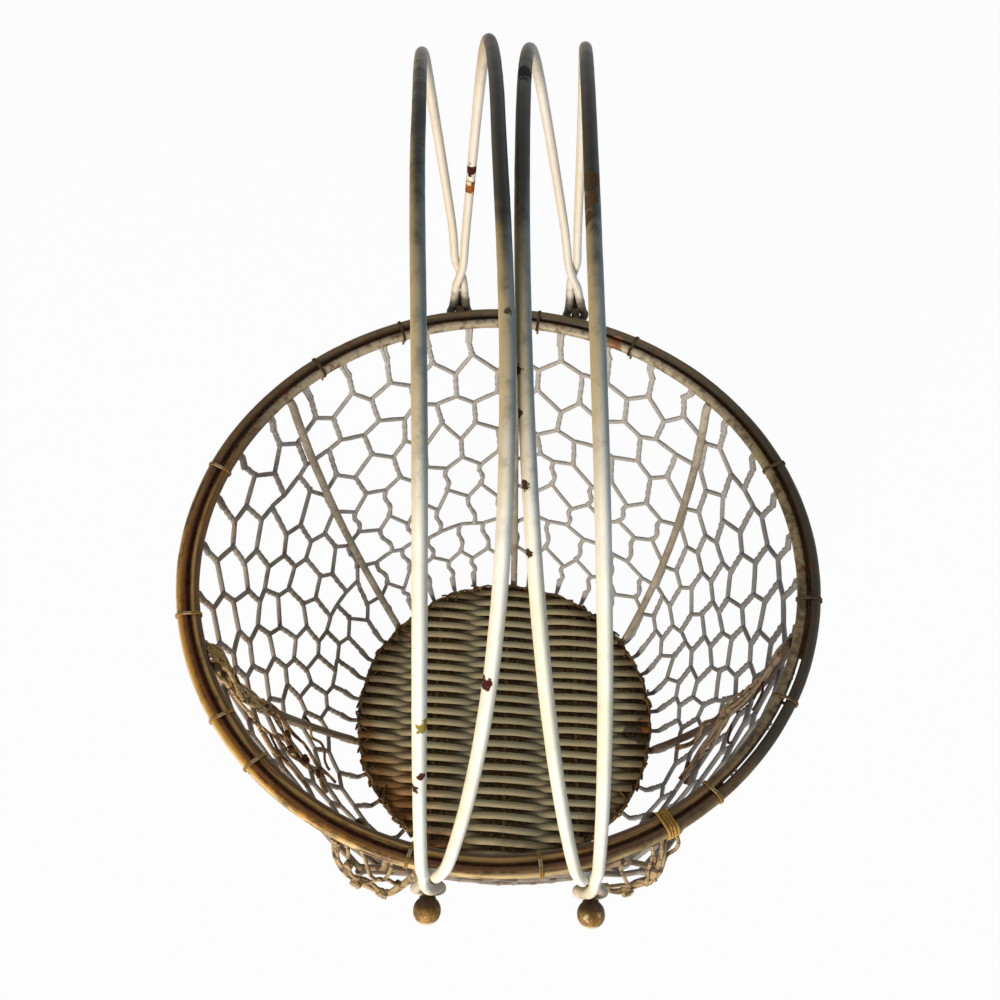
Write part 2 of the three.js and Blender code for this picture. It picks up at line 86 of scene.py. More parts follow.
class Link:
    """The output of a node; arithmetic on it adds the Math nodes that work it out."""

    def __init__(self, nodes, socket):
        self.nodes = nodes
        self.socket = socket

    def __add__(self, other):
        return self.nodes.maths("ADD", self, other)

    def __radd__(self, other):
        return self.nodes.maths("ADD", other, self)

    def __sub__(self, other):
        return self.nodes.maths("SUBTRACT", self, other)

    def __rsub__(self, other):
        return self.nodes.maths("SUBTRACT", other, self)

    def __mul__(self, other):
        return self.nodes.maths("MULTIPLY", self, other)

    def __rmul__(self, other):
        return self.nodes.maths("MULTIPLY", other, self)

    def __truediv__(self, other):
        return self.nodes.maths("DIVIDE", self, other)

    def __rtruediv__(self, other):
        return self.nodes.maths("DIVIDE", other, self)


def colour(hexadecimal):
    """Linear red, green, blue and alpha of a colour as a paint chart writes it."""
    parts = [int(hexadecimal[i:i + 2], 16) / 255 for i in (0, 2, 4)]
    linear = [c / 12.92 if c <= 0.04045 else ((c + 0.055) / 1.055) ** 2.4 for c in parts]
    return (*linear, 1)


class Finish(Nodes):
    """A material on Object coordinates, in metres, with the masks that the finishes share."""

    def __init__(self, name):
        self.material = bpy.data.materials.new(name)
        self.material.use_nodes = True
        super().__init__(self.material.node_tree)
        self.tree.nodes.clear()
        self.place = self.add("ShaderNodeTexCoord", output="Object")
        axes = self.add("ShaderNodeSeparateXYZ", {0: self.place}).socket.node
        self.x, self.y, self.z = (Link(self, axis) for axis in axes.outputs)

    def noise(self, size, detail=3, stretch=(1, 1, 1), seed=0, place=None):
        """Noise whose marks are about size metres across, stretched along the axes."""
        scale = tuple(1 / (size * s) for s in stretch)
        place = self.add("ShaderNodeMapping", {"Vector": place or self.place, "Scale": scale})
        sockets = {"Vector": place, "W": seed, "Scale": 1, "Detail": detail, "Roughness": 0.6}
        return self.add("ShaderNodeTexNoise", sockets, noise_dimensions="4D")

    def step(self, value, low, high):
        """0 below low, 1 above high, and smooth between; high may be the lower one."""
        sockets = {"Value": value, "From Min": low, "From Max": high}
        return self.add("ShaderNodeMapRange", sockets, interpolation_type="SMOOTHSTEP")

    def mix(self, share, first, second):
        """Two colours in shares; each is a link, or a colour as a paint chart writes it."""
        node = self.tree.nodes.new("ShaderNodeMix")
        node.data_type = "RGBA"
        for socket, value in ((0, share), (6, first), (7, second)):
            self.feed(node.inputs[socket], colour(value) if isinstance(value, str) else value)
        return Link(self, node.outputs[2])

    def coat(self, share, over):
        """Lays another colour over what is there so far."""
        self.base = self.mix(share, self.base, over)

    def from_middle(self):
        """Distance from the upright line through the rim's middle."""
        flat = self.add("ShaderNodeCombineXYZ", {0: self.x, 1: self.y})
        return self.add("ShaderNodeVectorMath", {0: flat}, output="Value", operation="LENGTH")

    def spot(self, centre, radius, rough=0.4):
        """1 at a place on the object, falling to 0 at a ragged edge this far from it."""
        sockets = {0: self.place, 1: centre}
        away = self.add("ShaderNodeVectorMath", sockets, output="Value", operation="DISTANCE")
        ragged = away / radius + (self.noise(radius * 0.7, 3) - 0.5) * (3 * rough)
        return self.step(ragged, 1.1, 0.8)

    def surface(self, roughness, bump, depth, metallic=0.0, shine=0.3):
        """The finished material, its relief as deep as depth in metres."""
        relief = self.add("ShaderNodeBump", {"Height": bump, "Distance": depth, "Strength": 1})
        sockets = {"Base Color": self.base, "Roughness": roughness, "Metallic": metallic,
                   "Specular IOR Level": shine, "Normal": relief}
        shader = self.add("ShaderNodeBsdfPrincipled", sockets)
        self.add("ShaderNodeOutputMaterial", {"Surface": shader})
        return self.material


def rusty_paint():
    """Brown rusty paint in streaks round the rings: rubbed to gold on the left and to tan in front,
    near black outside on the right, and darker between the rings where the rust lies. Toward the
    lamp on the front left the gold is laid on wider as a painted highlight, with painted highlights
    along the outer ring's outer edge and on the inner ring's outer half, and painted shade on the
    inner ring's inner half and, away from the lamp, between the rings. At the back, where the rings
    face the lamp, painted light makes the inner ring cream and the outer ring lighter."""
    paint = Finish("rusty_gold_paint")
    radius = paint.from_middle()
    round_it = {0: paint.x, 1: paint.y, 2: (radius + paint.z) * 18}
    streaked = paint.add("ShaderNodeCombineXYZ", round_it)
    broad = paint.noise(0.030, 4)
    fine = paint.noise(0.0035, 5, seed=2)
    streak = paint.noise(0.022, 4, seed=3, place=streaked)
    rubbed = paint.noise(0.030, 5, seed=12, place=streaked)
    paint.base = paint.mix(paint.step(streak, 0.36, 0.64), "1d0f04", "533a1a")
    toward = paint.x * -0.55 - paint.y * 0.8 + (broad - 0.5) * 0.14
    near = paint.step(toward, 0.01, 0.13)
    paint.coat((1 - near) * 0.35, "3b3420")
    left = paint.step(paint.x + (broad - 0.5) * 0.05, 0.02, -0.08)
    # Painted highlight: the rubbed gold is laid on wider and brighter toward the lamp on the front
    # left.
    gold = paint.step(rubbed * 0.7 + fine * 0.3, 0.38, 0.56) * (0.18 + near * (left * 0.40 + 0.32))
    paint.coat(gold, paint.mix(left, "a58a60", "c88f3a"))
    warm = paint.step(radius, 0.1504, 0.1490) * near
    paint.coat(warm * 0.65, "783a10")
    # Painted light: cream where the inner ring faces the lamp at the back.
    inside = paint.step(radius, 0.1476, 0.1468) * paint.step(paint.y, 0.04, 0.12)
    paint.coat(inside * paint.step(fine, 0.30, 0.55) * 0.75, "c4b496")
    # Painted highlight: pale gold on the inner ring's outer half toward the lamp.
    top = paint.step(radius, 0.1474, 0.1467) * paint.step(radius, 0.1436, 0.1446) * near
    paint.coat(top * paint.step(rubbed, 0.36, 0.50) * 0.85, "c8a05c")
    shaded = paint.step(radius, 0.1446, 0.1436) * near
    paint.coat(shaded * 0.8, "34301e")
    # Painted highlight: a pale line along the outer ring's outer edge toward the lamp.
    crest_highlight = paint.step(radius, 0.1508, 0.1520) * paint.step(rubbed, 0.40, 0.52)
    paint.coat(crest_highlight * near * 0.7, "dcc088")
    right = (1 - near) * paint.step(paint.x, 0.08, 0.12)
    paint.coat(right * paint.step(radius, 0.1478, 0.1490) * 0.75, "1e1e14")
    tan = right * paint.step(radius, 0.1476, 0.1468) * paint.step(broad + fine, 0.85, 1.15)
    paint.coat(tan * 0.7, "a08c64")
    # Painted highlight: the outer ring lighter and olive where it faces the lamp at the back.
    olive = paint.step(radius, 0.1468, 0.1476) * paint.step(paint.y, 0.05, 0.13)
    paint.coat(olive * 0.40, "7a6c4c")
    # Dark between the rings, where the rust lies; away from the lamp it is near black as painted
    # shade.
    off = paint.maths("ABSOLUTE", radius - BETWEEN_RINGS)
    crevice = paint.step(off + (fine - 0.5) * 0.0012, 0.0020, 0.0005)
    paint.coat(crevice * 0.9, paint.mix(near, "1f1106", "461d08"))
    rust = paint.step(paint.noise(0.010, 5, seed=5), 0.58, 0.70)
    paint.coat(rust * 0.6, "5a2c0f")
    stain = paint.spot((0.0602, 0.1305, INNER_HEIGHT + 0.0010), 0.0048, rough=0.7)
    paint.coat(stain * 0.85, "7d4a1c")
    roughness = 0.36 + fine * 0.3 + rust * 0.2
    return paint.surface(roughness, fine + rust * 0.6, 0.0003, metallic=0.15)


def wire_tree():
    """Geometry Nodes: wire of one section, swept along the edges of a mesh."""
    tree = bpy.data.node_groups.new("wire_along_its_path", "GeometryNodeTree")
    sizes = {
        "Path": "Geometry", "Diameter": "Float", "Flatness": "Float", "Sides": "Int",
        "Wander": "Float", "Wander Size": "Float", "Lumps": "Float", "Lump Size": "Float",
        "Seed": "Float", "Finish": "Material",
    }
    for name, kind in sizes.items():
        tree.interface.new_socket(name, in_out="INPUT", socket_type=f"NodeSocket{kind}")
    tree.interface.new_socket("Wire", in_out="OUTPUT", socket_type="NodeSocketGeometry")
    nodes = Nodes(tree)
    given = tree.nodes.new("NodeGroupInput")
    size = {name: Link(nodes, given.outputs[name]) for name in sizes}

    def drift(geometry, amount, reach):
        """Geometry moved aside by about this amount, in waves about this long."""
        place = nodes.add("GeometryNodeInputPosition")
        sockets = {"Vector": place, "W": size["Seed"], "Scale": 1 / reach, "Detail": 2}
        cloud = nodes.add("ShaderNodeTexNoise", sockets, output=1, noise_dimensions="4D")
        sockets = {0: cloud, 1: (0.5, 0.5, 0.5)}
        centred = nodes.add("ShaderNodeVectorMath", sockets, operation="SUBTRACT")
        sockets = {0: centred, "Scale": amount * 4}
        offset = nodes.add("ShaderNodeVectorMath", sockets, operation="SCALE")
        return nodes.add("GeometryNodeSetPosition", {"Geometry": geometry, "Offset": offset})

    curve = nodes.add("GeometryNodeMeshToCurve", {"Mesh": size["Path"]})
    curve = drift(curve, size["Wander"], size["Wander Size"])
    thickness = nodes.add("GeometryNodeInputNamedAttribute", {"Name": "thickness"})
    curve = nodes.add("GeometryNodeSetCurveRadius", {"Curve": curve, "Radius": thickness})
    sockets = {"Resolution": size["Sides"], "Radius": size["Diameter"] / 2}
    section = nodes.add("GeometryNodeCurvePrimitiveCircle", sockets)
    scale = nodes.add("ShaderNodeCombineXYZ", {"X": 1, "Y": size["Flatness"], "Z": 1})
    section = nodes.add("GeometryNodeTransform", {"Geometry": section, "Scale": scale})
    sockets = {"Curve": curve, "Profile Curve": section, "Fill Caps": True}
    wire = nodes.add("GeometryNodeCurveToMesh", sockets)
    wire = drift(wire, size["Lumps"], size["Lump Size"])
    wire = nodes.add("GeometryNodeSetShadeSmooth", {"Geometry": wire})
    wire = nodes.add("GeometryNodeRealizeInstances", {"Geometry": wire})
    wire = nodes.add("GeometryNodeSetMaterial", {"Geometry": wire, "Material": size["Finish"]})
    nodes.add("NodeGroupOutput", {"Wire": wire})
    return tree


WIRE_TREE = wire_tree()


class WirePaths:
    """Lines of points, open or closed, that the wire tree sweeps into one piece."""

    def __init__(self):
        self.points = []
        self.edges = []
        self.thickness = []

    def add(self, points, closed=False, thickness=None):
        first = len(self.points)
        count = len(points)
        self.points.extend(points)
        self.thickness.extend(thickness or [1.0] * count)
        self.edges.extend((first + i, first + i + 1) for i in range(count - 1))
        if closed:
            self.edges.append((first + count - 1, first))


def close_and_face_out(mesh):
    """Merges doubled points and turns every face outward."""
    shell = bmesh.new()
    shell.from_mesh(mesh)
    bmesh.ops.remove_doubles(shell, verts=shell.verts, dist=1e-6)
    bmesh.ops.recalc_face_normals(shell, faces=shell.faces)
    shell.to_mesh(mesh)
    shell.free()


def bend_wire(name, paths, finish, diameter, sides=12, flatness=1.0, wander=0.0,
              wander_size=0.03, lumps=0.0, lump_size=0.004, seed=0.0):
    """A finished piece of wire, swept along its paths by the wire tree."""
    mesh = bpy.data.meshes.new(name)
    mesh.from_pydata(paths.points, paths.edges, [])
    mesh.attributes.new("thickness", "FLOAT", "POINT")
    mesh.attributes["thickness"].data.foreach_set("value", paths.thickness)
    piece = bpy.data.objects.new(name, mesh)
    scene.collection.objects.link(piece)
    modifier = piece.modifiers.new("Wire", "NODES")
    modifier.node_group = WIRE_TREE
    values = {
        "Diameter": diameter, "Flatness": flatness, "Sides": sides, "Wander": wander,
        "Wander Size": wander_size, "Lumps": lumps, "Lump Size": lump_size, "Seed": seed,
        "Finish": finish,
    }
    for item in WIRE_TREE.interface.items_tree:
        if item.name in values:
            modifier[item.identifier] = values[item.name]
    swept = piece.evaluated_get(bpy.context.evaluated_depsgraph_get())
    made = bpy.data.meshes.new_from_object(swept)
    piece.modifiers.remove(modifier)
    close_and_face_out(made)
    piece.data = made
    return piece


def turned(radius, angle, height):
    """A point this far from the upright line through the rim's middle."""
    return Vector((radius * math.cos(angle), radius * math.sin(angle), height))


def round_angles(count):
    """So many angles, evenly round the circle."""
    return [2 * math.pi * i / count for i in range(count)]


RIM_PAINT = rusty_paint()
for name, radius, height, seed in (
    ("outer_rim_ring", RIM_RADIUS, RIM_HEIGHT, 1.3),
    ("inner_rim_ring", INNER_RADIUS, INNER_HEIGHT, 4.1),
):
    ring = WirePaths()
    ring.add([turned(radius, angle, height) for angle in round_angles(RING_POINTS)], closed=True)
    piece = bend_wire(f"{name}_bent_wire", ring, RIM_PAINT, RING_DRAWN, sides=16,
                      wander=0.00012, wander_size=0.05, lumps=0.00009, lump_size=0.004, seed=seed)
    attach(piece, "basket")
    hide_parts(name)

# Rust between the rings
# The netting's top edge was nipped between the rings, and it has rusted into one brown line;
# right of the front it has broken out, so that a gap shows.

EDGE_FROM = 339
EDGE_SPAN = 332
EDGE_STEPS = 300
EDGE_WIRE = 0.0021
EDGE_SINK = 0.0006


def dark_rust():
    """Flaking rust, nearly black in its pits."""
    rust = Finish("dark_rust")
    grain = rust.noise(0.0025, 5)
    rust.base = rust.mix(rust.step(grain, 0.35, 0.65), "1c0e05", "5c2f10")
    return rust.surface(0.9, grain, 0.0004)


DARK_RUST = dark_rust()
nipped = WirePaths()
height = (RIM_HEIGHT + INNER_HEIGHT) / 2 - EDGE_SINK
degrees = [EDGE_FROM + EDGE_SPAN * i / EDGE_STEPS for i in range(EDGE_STEPS + 1)]
nipped.add([turned(BETWEEN_RINGS, math.radians(turn), height) for turn in degrees])
piece = bend_wire("rim_rusted_edge", nipped, DARK_RUST, EDGE_WIRE, sides=8, wander=0.0002,
                  wander_size=0.01, lumps=0.0003, lump_size=0.002, seed=9.2)
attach(piece, "basket")

# Bottom hoop
# A ring of 4.5 mm wire on the floor, under the edge of the woven bottom; it carries the bottom,
# and the feet of the ribs meet it. Cream paint gone taupe, as on the ribs.

BASE_SHIFT = 0.006
HOOP_RADIUS = 0.094
HOOP_WIRE = 0.0045
HOOP_POINTS = 160


def cream_paint():
    """Cream paint gone taupe, browner on the left and right, with grime and bare dark places."""
    paint = Finish("taupe_cream_paint")
    broad = paint.noise(0.020, 4)
    fine = paint.noise(0.0030, 5, seed=3)
    paint.base = paint.mix(paint.step(broad, 0.35, 0.65), "978a74", "bdb09b")
    grime = paint.step(paint.noise(0.008, 5, seed=7), 0.52, 0.68)
    paint.coat(grime * 0.55, "6b5a40")
    left = paint.step(paint.x * -1 - paint.y * 0.6, 0.055, 0.09)
    paint.coat(left * 0.8, "66543a")
    right = paint.step(paint.x - paint.y * 1.6, 0.10, 0.15)
    paint.coat(right * 0.9, "40271a")
    head = left * paint.step(paint.z, 0.16, 0.20)
    paint.coat(head * 0.9, "4a3820")
    bare = paint.step(fine, 0.66, 0.72)
    paint.coat(bare * 0.7, "45382a")
    relief = fine - bare * 0.8
    return paint.surface(0.55 + fine * 0.25, relief, 0.0002, metallic=0.05)


def round_bottom(radius, angle, height):
    """A point round the bottom's own middle, a little to the right of the rim's."""
    return turned(radius, angle, height) + Vector((BASE_SHIFT, 0, 0))


RIB_PAINT = cream_paint()
hoop = WirePaths()
hoop.add([round_bottom(HOOP_RADIUS, angle, HOOP_WIRE / 2) for angle in round_angles(HOOP_POINTS)],
         closed=True)
piece = bend_wire("bottom_hoop_wire", hoop, RIB_PAINT, HOOP_WIRE, lumps=0.00006, seed=2.2)
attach(piece, "basket")
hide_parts("base_hoop")

# Woven bottom
# Thick reeds woven across three stakes, over one and under the next, trimmed round the hoop and
# bound with thin brown twigs. The ridges are bleached beige; the hollows are dark with painted
# shade, in the reed's colour and as a dark sheet under the weave.

DISC_RADIUS = 0.0965
DISC_MIDDLE = 0.0088
STAKE_SPACING = 0.0465
STAKE_SHIFT = 0.0005
STAKE_WIRE = 0.0034
REED_PITCH = 0.00392
REED_SLOPE = -0.045
REED_WIDTH = 0.0044
REED_THICKNESS = 0.0030
REED_RISE = 0.0025
REED_CREST = 1.1
REED_TRIM = 0.002
REED_SWAY = 0.0005
REED_STRAY = 0.0002
REED_STEPS_PER_METRE = 800
STAKE_STEPS = 40
# The dark sheet of painted shade in the weave's hollows.
SHADE_SHEET_SINK = 0.0006
SHADE_SHEET_THICKNESS = 0.0010
SHADE_SHEET_MARGIN = 0.0004
SHADE_SHEET_RINGS = 13
SHADE_SHEET_RING_WIDTH = 0.0078
SHADE_SHEET_SIDES = 72
TWIG_WIRE = 0.0015
BINDING_TURNS = 4
BINDING_POINTS = 180
BINDING_WAVES = 34
BINDING_DROP = 0.0010
BINDING_PITCH = 0.0013
BINDING_INSET = 0.0006
EDGE_TWIGS = 170
TWIG_TURN = (0.05, 0.14)
TWIG_INSIDE = (0.088, 0.094)
TWIG_OUTSIDE = (0.0958, 0.0985)
TWIG_LOW = (0.0075, 0.0115)
TWIG_HIGH = (0.0075, 0.0130)
TWIG_STEPS = 4


def woven_reed():
    """Bleached reed with grain along its length: dark low down, in the hollows, as painted shade,
    and dark at the edge, greener in the middle, rusty toward the front left, with one dark and
    orange mark on the right."""
    reed = Finish("weathered_reed")
    grain = reed.noise(0.0008, 4, stretch=(16, 1, 1))
    patch = reed.noise(0.022, 4, seed=4)
    reed.base = reed.mix(grain, "9a8862", "cab98f")
    middle = reed.step(reed.x, -0.045, -0.01) * reed.step(patch, 0.38, 0.60)
    reed.coat(middle * 0.5, "a29d7e")
    # Painted shade: dark brown low in the weave, in the hollows where the reeds dive under.
    low = reed.step(reed.z + (grain - 0.5) * 0.0012, DISC_MIDDLE + 0.0029, DISC_MIDDLE - 0.0012)
    reed.coat(low * 0.93, "3d2d14")
    stain = reed.step(reed.x * -0.75 - reed.y * 0.65 + (patch - 0.5) * 0.05, 0.055, 0.088)
    reed.coat(stain * 0.8, "9a5a14")
    away = reed.add("ShaderNodeVectorMath", {0: reed.place, 1: (BASE_SHIFT, 0, DISC_MIDDLE)},
                    output="Value", operation="DISTANCE")
    rim = reed.step(away + (patch - 0.5) * 0.02, 0.078, 0.097)
    reed.coat(rim * 0.8, "543612")
    dark = reed.spot((0.0930, -0.0100, 0.0115), 0.0090, rough=0.7)
    reed.coat(dark * 0.8, "241405")
    orange = reed.spot((0.0985, -0.0060, 0.0105), 0.0045, rough=0.7)
    reed.coat(orange * 0.8, "9a5a20")
    return reed.surface(0.75 + grain * 0.2, grain, 0.0003)


def brown_twig():
    """Brown bark with dark clumps, for the twigs, the stakes and the dark sheet of painted shade in
    the weave.
    """
    twig = Finish("brown_twig")
    grain = twig.noise(0.002, 4)
    clump = twig.noise(0.012, 3, seed=3)
    twig.base = twig.mix(twig.step(grain, 0.35, 0.7), "402a10", "8a6a3c")
    twig.coat(twig.step(clump, 0.5, 0.6) * 0.5, "241608")
    return twig.surface(0.85, grain, 0.0003)


def bridge(shell, ring, following):
    """Faces between two rings of as many points."""
    for i in range(len(ring)):
        shell.faces.new((ring[i - 1], ring[i], following[i], following[i - 1]))


def smooth_shell(name, shell, finish):
    """A smooth piece of one finish, its faces turned outward."""
    bmesh.ops.recalc_face_normals(shell, faces=shell.faces)
    mesh = bpy.data.meshes.new(name)
    shell.to_mesh(mesh)
    shell.free()
    mesh.polygons.foreach_set("use_smooth", [True] * len(mesh.polygons))
    mesh.materials.append(finish)
    piece = bpy.data.objects.new(name, mesh)
    scene.collection.objects.link(piece)
    return piece


REED = woven_reed()
TWIG = brown_twig()
draw = random.Random(11)
reeds = WirePaths()
rows = int(DISC_RADIUS / REED_PITCH)
stretch = 1 + REED_SLOPE ** 2
for row in range(-rows, rows + 1):
    row_y = row * REED_PITCH
    middle = -REED_SLOPE * row_y / stretch
    half = math.sqrt(DISC_RADIUS ** 2 * stretch - row_y ** 2) / stretch - draw.uniform(0, REED_TRIM)
    side = 1 if row % 2 else -1
    count = max(int(half * REED_STEPS_PER_METRE), 10)
    sway = draw.uniform(-REED_SWAY, REED_SWAY)
    height = draw.uniform(-REED_STRAY, REED_STRAY)
    points = []
    for i in range(count + 1):
        x = middle + half * (2 * i / count - 1)
        wave = math.cos(math.pi * (x - STAKE_SHIFT) / STAKE_SPACING)
        z = DISC_MIDDLE + height + side * REED_RISE * max(-1, min(1, REED_CREST * wave))
        y = row_y + REED_SLOPE * x + sway * math.sin(70 * x + row)
        points.append(Vector((BASE_SHIFT + x, y, z)))
    reeds.add(points, thickness=[draw.uniform(0.88, 1.0)] * len(points))
piece = bend_wire("bottom_reeds", reeds, REED, REED_WIDTH, sides=12,
                  flatness=REED_THICKNESS / REED_WIDTH, wander=0.00014, wander_size=0.012,
                  lumps=0.0001, lump_size=0.003, seed=8.4)
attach(piece, "basket")
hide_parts("woven_base")

stakes = WirePaths()
for stake in range(-1, 2):
    x = STAKE_SHIFT + stake * STAKE_SPACING
    half = math.sqrt(DISC_RADIUS ** 2 - x ** 2) - 0.001
    shares = [2 * i / STAKE_STEPS - 1 for i in range(STAKE_STEPS + 1)]
    stakes.add([Vector((BASE_SHIFT + x, half * share, DISC_MIDDLE)) for share in shares])
piece = bend_wire("bottom_stakes", stakes, TWIG, STAKE_WIRE, sides=10, wander=0.0002, seed=5.5)
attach(piece, "basket")

# Painted shade: a dark sheet in the middle of the weave, which shows dark in the hollows.
shade_sheet = bmesh.new()
edges = []
for drop in (0, SHADE_SHEET_THICKNESS):
    rings = []
    for i in range(SHADE_SHEET_RINGS):
        radius = DISC_RADIUS - SHADE_SHEET_MARGIN - SHADE_SHEET_RING_WIDTH * i
        ring = []
        for angle in round_angles(SHADE_SHEET_SIDES):
            place = round_bottom(radius, angle, DISC_MIDDLE - SHADE_SHEET_SINK)
            place.z += 0.0006 * noise.noise(place * 120)
            place.z -= drop
            ring.append(shade_sheet.verts.new(place))
        rings.append(ring)
    for outer, inner in zip(rings, rings[1:]):
        bridge(shade_sheet, outer, inner)
    shade_sheet.faces.new(rings[-1])
    edges.append(rings[0])
bridge(shade_sheet, *edges)
piece = smooth_shell("bottom_hollow_shade_sheet", shade_sheet, TWIG)
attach(piece, "basket")

edge = WirePaths()
for turn in range(BINDING_TURNS):
    points = []
    for angle in round_angles(BINDING_POINTS):
        wave = angle * BINDING_WAVES + turn * math.pi / 2
        height = DISC_MIDDLE - BINDING_DROP + turn * BINDING_PITCH + 0.0009 * math.sin(wave)
        radius = DISC_RADIUS - BINDING_INSET + 0.0008 * math.cos(wave)
        points.append(round_bottom(radius, angle, height))
    edge.add(points, closed=True)
for twig in range(EDGE_TWIGS):
    angle = draw.uniform(0, 2 * math.pi)
    turn = draw.choice((-1, 1)) * draw.uniform(*TWIG_TURN)
    near, far = draw.uniform(*TWIG_INSIDE), draw.uniform(*TWIG_OUTSIDE)
    low, high = draw.uniform(*TWIG_LOW), draw.uniform(*TWIG_HIGH)
    points = []
    for i in range(TWIG_STEPS + 1):
        share = i / TWIG_STEPS
        radius = near + (far - near) * math.sin(share * math.pi / 2)
        height = low + (high - low) * share
        points.append(round_bottom(radius, angle + turn * share, height))
    edge.add(points, thickness=[draw.uniform(0.5, 1.1)] * len(points))
piece = bend_wire("bottom_edge_twigs", edge, TWIG, TWIG_WIRE, sides=6, wander=0.0004,
                  wander_size=0.006, seed=3.7)
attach(piece, "basket")

# Ribs
# Seven wires that carry the netting, bent to the wall's bulge and turned in under the bottom;
# their heads are welded under the inner ring. Cream paint gone taupe.

RIB_WIRE = 0.0046
RIB_SLACK = 0.0012
SEAT = 0.0003
WALL_CURVE = 2.25
RIBS = {
    "rib_back_right": (40, 35),
    "rib_back": (88, 87),
    "rib_back_left": (142, 139),
    "rib_left": (206, 190),
    "rib_front_left": (247, 243),
    "rib_front_right": (298, 294),
    "rib_right": (341, 349),
}
RIB_TOP = INNER_HEIGHT - RIM_WIRE / 2 - SEAT
RIB_TOP_RADIUS = INNER_RADIUS - RIM_WIRE / 2 - RIB_SLACK / 2
BOTTOM_EDGE = 0.0975
RIB_FOOT_RADIUS = BOTTOM_EDGE + RIB_WIRE / 2 + RIB_SLACK
RIB_STEPS = 15
RIB_BEND = RIB_WIRE / 2 + HOOP_WIRE


def wall_radius(z):
    """Distance of the ribs' middle line from the wall's own middle line at a height."""
    fall = min(max((RIB_TOP - z) / (RIB_TOP - RIB_BEND), 0), 1)
    return RIB_TOP_RADIUS - (RIB_TOP_RADIUS - RIB_FOOT_RADIUS) * fall ** WALL_CURVE


def wall_point(angle, radius, z):
    """A point on the wall, whose middle line leans from the rim's middle to the bottom's."""
    return turned(radius, angle, z) + Vector((BASE_SHIFT * (1 - z / RIM_HEIGHT), 0, 0))


def smooth_path(points, steps):
    """Centripetal curve through the points, with so many steps from each to the next."""
    ends = [2 * points[0] - points[1], *points, 2 * points[-1] - points[-2]]
    path = []
    for a, b, c, d in zip(ends, ends[1:], ends[2:], ends[3:]):
        t1 = (b - a).length ** 0.5
        t2 = t1 + (c - b).length ** 0.5
        t3 = t2 + (d - c).length ** 0.5
        for i in range(steps):
            t = t1 + (t2 - t1) * i / steps
            before = a.lerp(b, t / t1)
            between = b.lerp(c, (t - t1) / (t2 - t1))
            after = c.lerp(d, (t - t2) / (t3 - t2))
            early = before.lerp(between, t / t2)
            late = between.lerp(after, (t - t1) / (t3 - t1))
            path.append(early.lerp(late, (t - t1) / (t2 - t1)))
    path.append(points[-1].copy())
    return path


rib_foot_end = HOOP_RADIUS + HOOP_WIRE / 2 + SEAT
for number, (name, (rim_angle, foot_angle)) in enumerate(RIBS.items()):
    head = math.radians(rim_angle)
    points = [wall_point(head, RIB_TOP_RADIUS + 0.0012, RIB_TOP + 0.0018)]
    for i in range(RIB_STEPS + 1):
        share = i / RIB_STEPS
        z = RIB_TOP + (RIB_BEND - RIB_TOP) * share
        angle = math.radians(rim_angle + (foot_angle - rim_angle) * share)
        points.append(wall_point(angle, wall_radius(z), z))
    bend = RIB_FOOT_RADIUS - rib_foot_end
    foot = math.radians(foot_angle)
    for share, z in ((0.82, RIB_WIRE / 2 + 0.0017), (0.5, RIB_WIRE / 2 + 0.0001),
                     (0, RIB_WIRE / 2 + 0.0001)):
        points.append(wall_point(foot, rib_foot_end + share * bend, z))
    rib = WirePaths()
    rib.add(smooth_path(points, 5))
    piece = bend_wire(f"{name}_wire", rib, RIB_PAINT, RIB_WIRE, sides=14, wander=0.0002,
                      wander_size=0.06, lumps=0.00009, lump_size=0.004, seed=number * 3.1)
    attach(piece, "basket")
    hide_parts(name)

# Netting
# Hexagonal netting outside the ribs, dipped in zinc after it was woven and gone taupe grey. Its
# wires come down the wall in pairs that twist round each other and part again.

NET_ROWS = 8
NET_FIRST = 0.045
NET_LAST = 0.965
NET_POINT = 0.18
NET_WIRE = 0.0027
NET_TURNS = 1.5
TWIST_STEPS = 12
TWIST_OVERRUN = 0.06
TWIST_THICKNESS = 0.86
TWIST_REACH = NET_WIRE * 0.14
PARTED_REACH = 2.2
CROSS_THICKNESS = 0.94
NET_SWAY = 0.35
NET_SAG = 0.035
END_STRAY = 0.085
END_DROP = 0.009
PULLED_BETWEEN = ("rib_back_right", "rib_back_left")
PULLED_ROWS = 4
PULLED_WAVE = 0.0011
PULLED_THICKNESS = 0.6
NET_SOLID_WIRE = 0.0016
HALF_MESHES = (9, 11, 12, 8, 10, 8, 12)
BAY_FLATNESS = (0.4, 0.4, 0.3, 0.4, 0.8, 0.4, 0.4)
NET_OFFSET = RIB_WIRE / 2 + SEAT + NET_SOLID_WIRE / 2
NET_TOP = RIB_TOP - NET_SOLID_WIRE / 2
NET_BOTTOM = RIB_BEND
POUCHES = (249, 296)
POUCH_SPREAD = 11
POUCH_DEPTH = 0.090
POUCH_BULGE = 0.010
COLUMNS = sum(HALF_MESHES)
bay_starts = [sum(HALF_MESHES[:i]) for i in range(len(HALF_MESHES))]
rib_angles = list(RIBS.values())


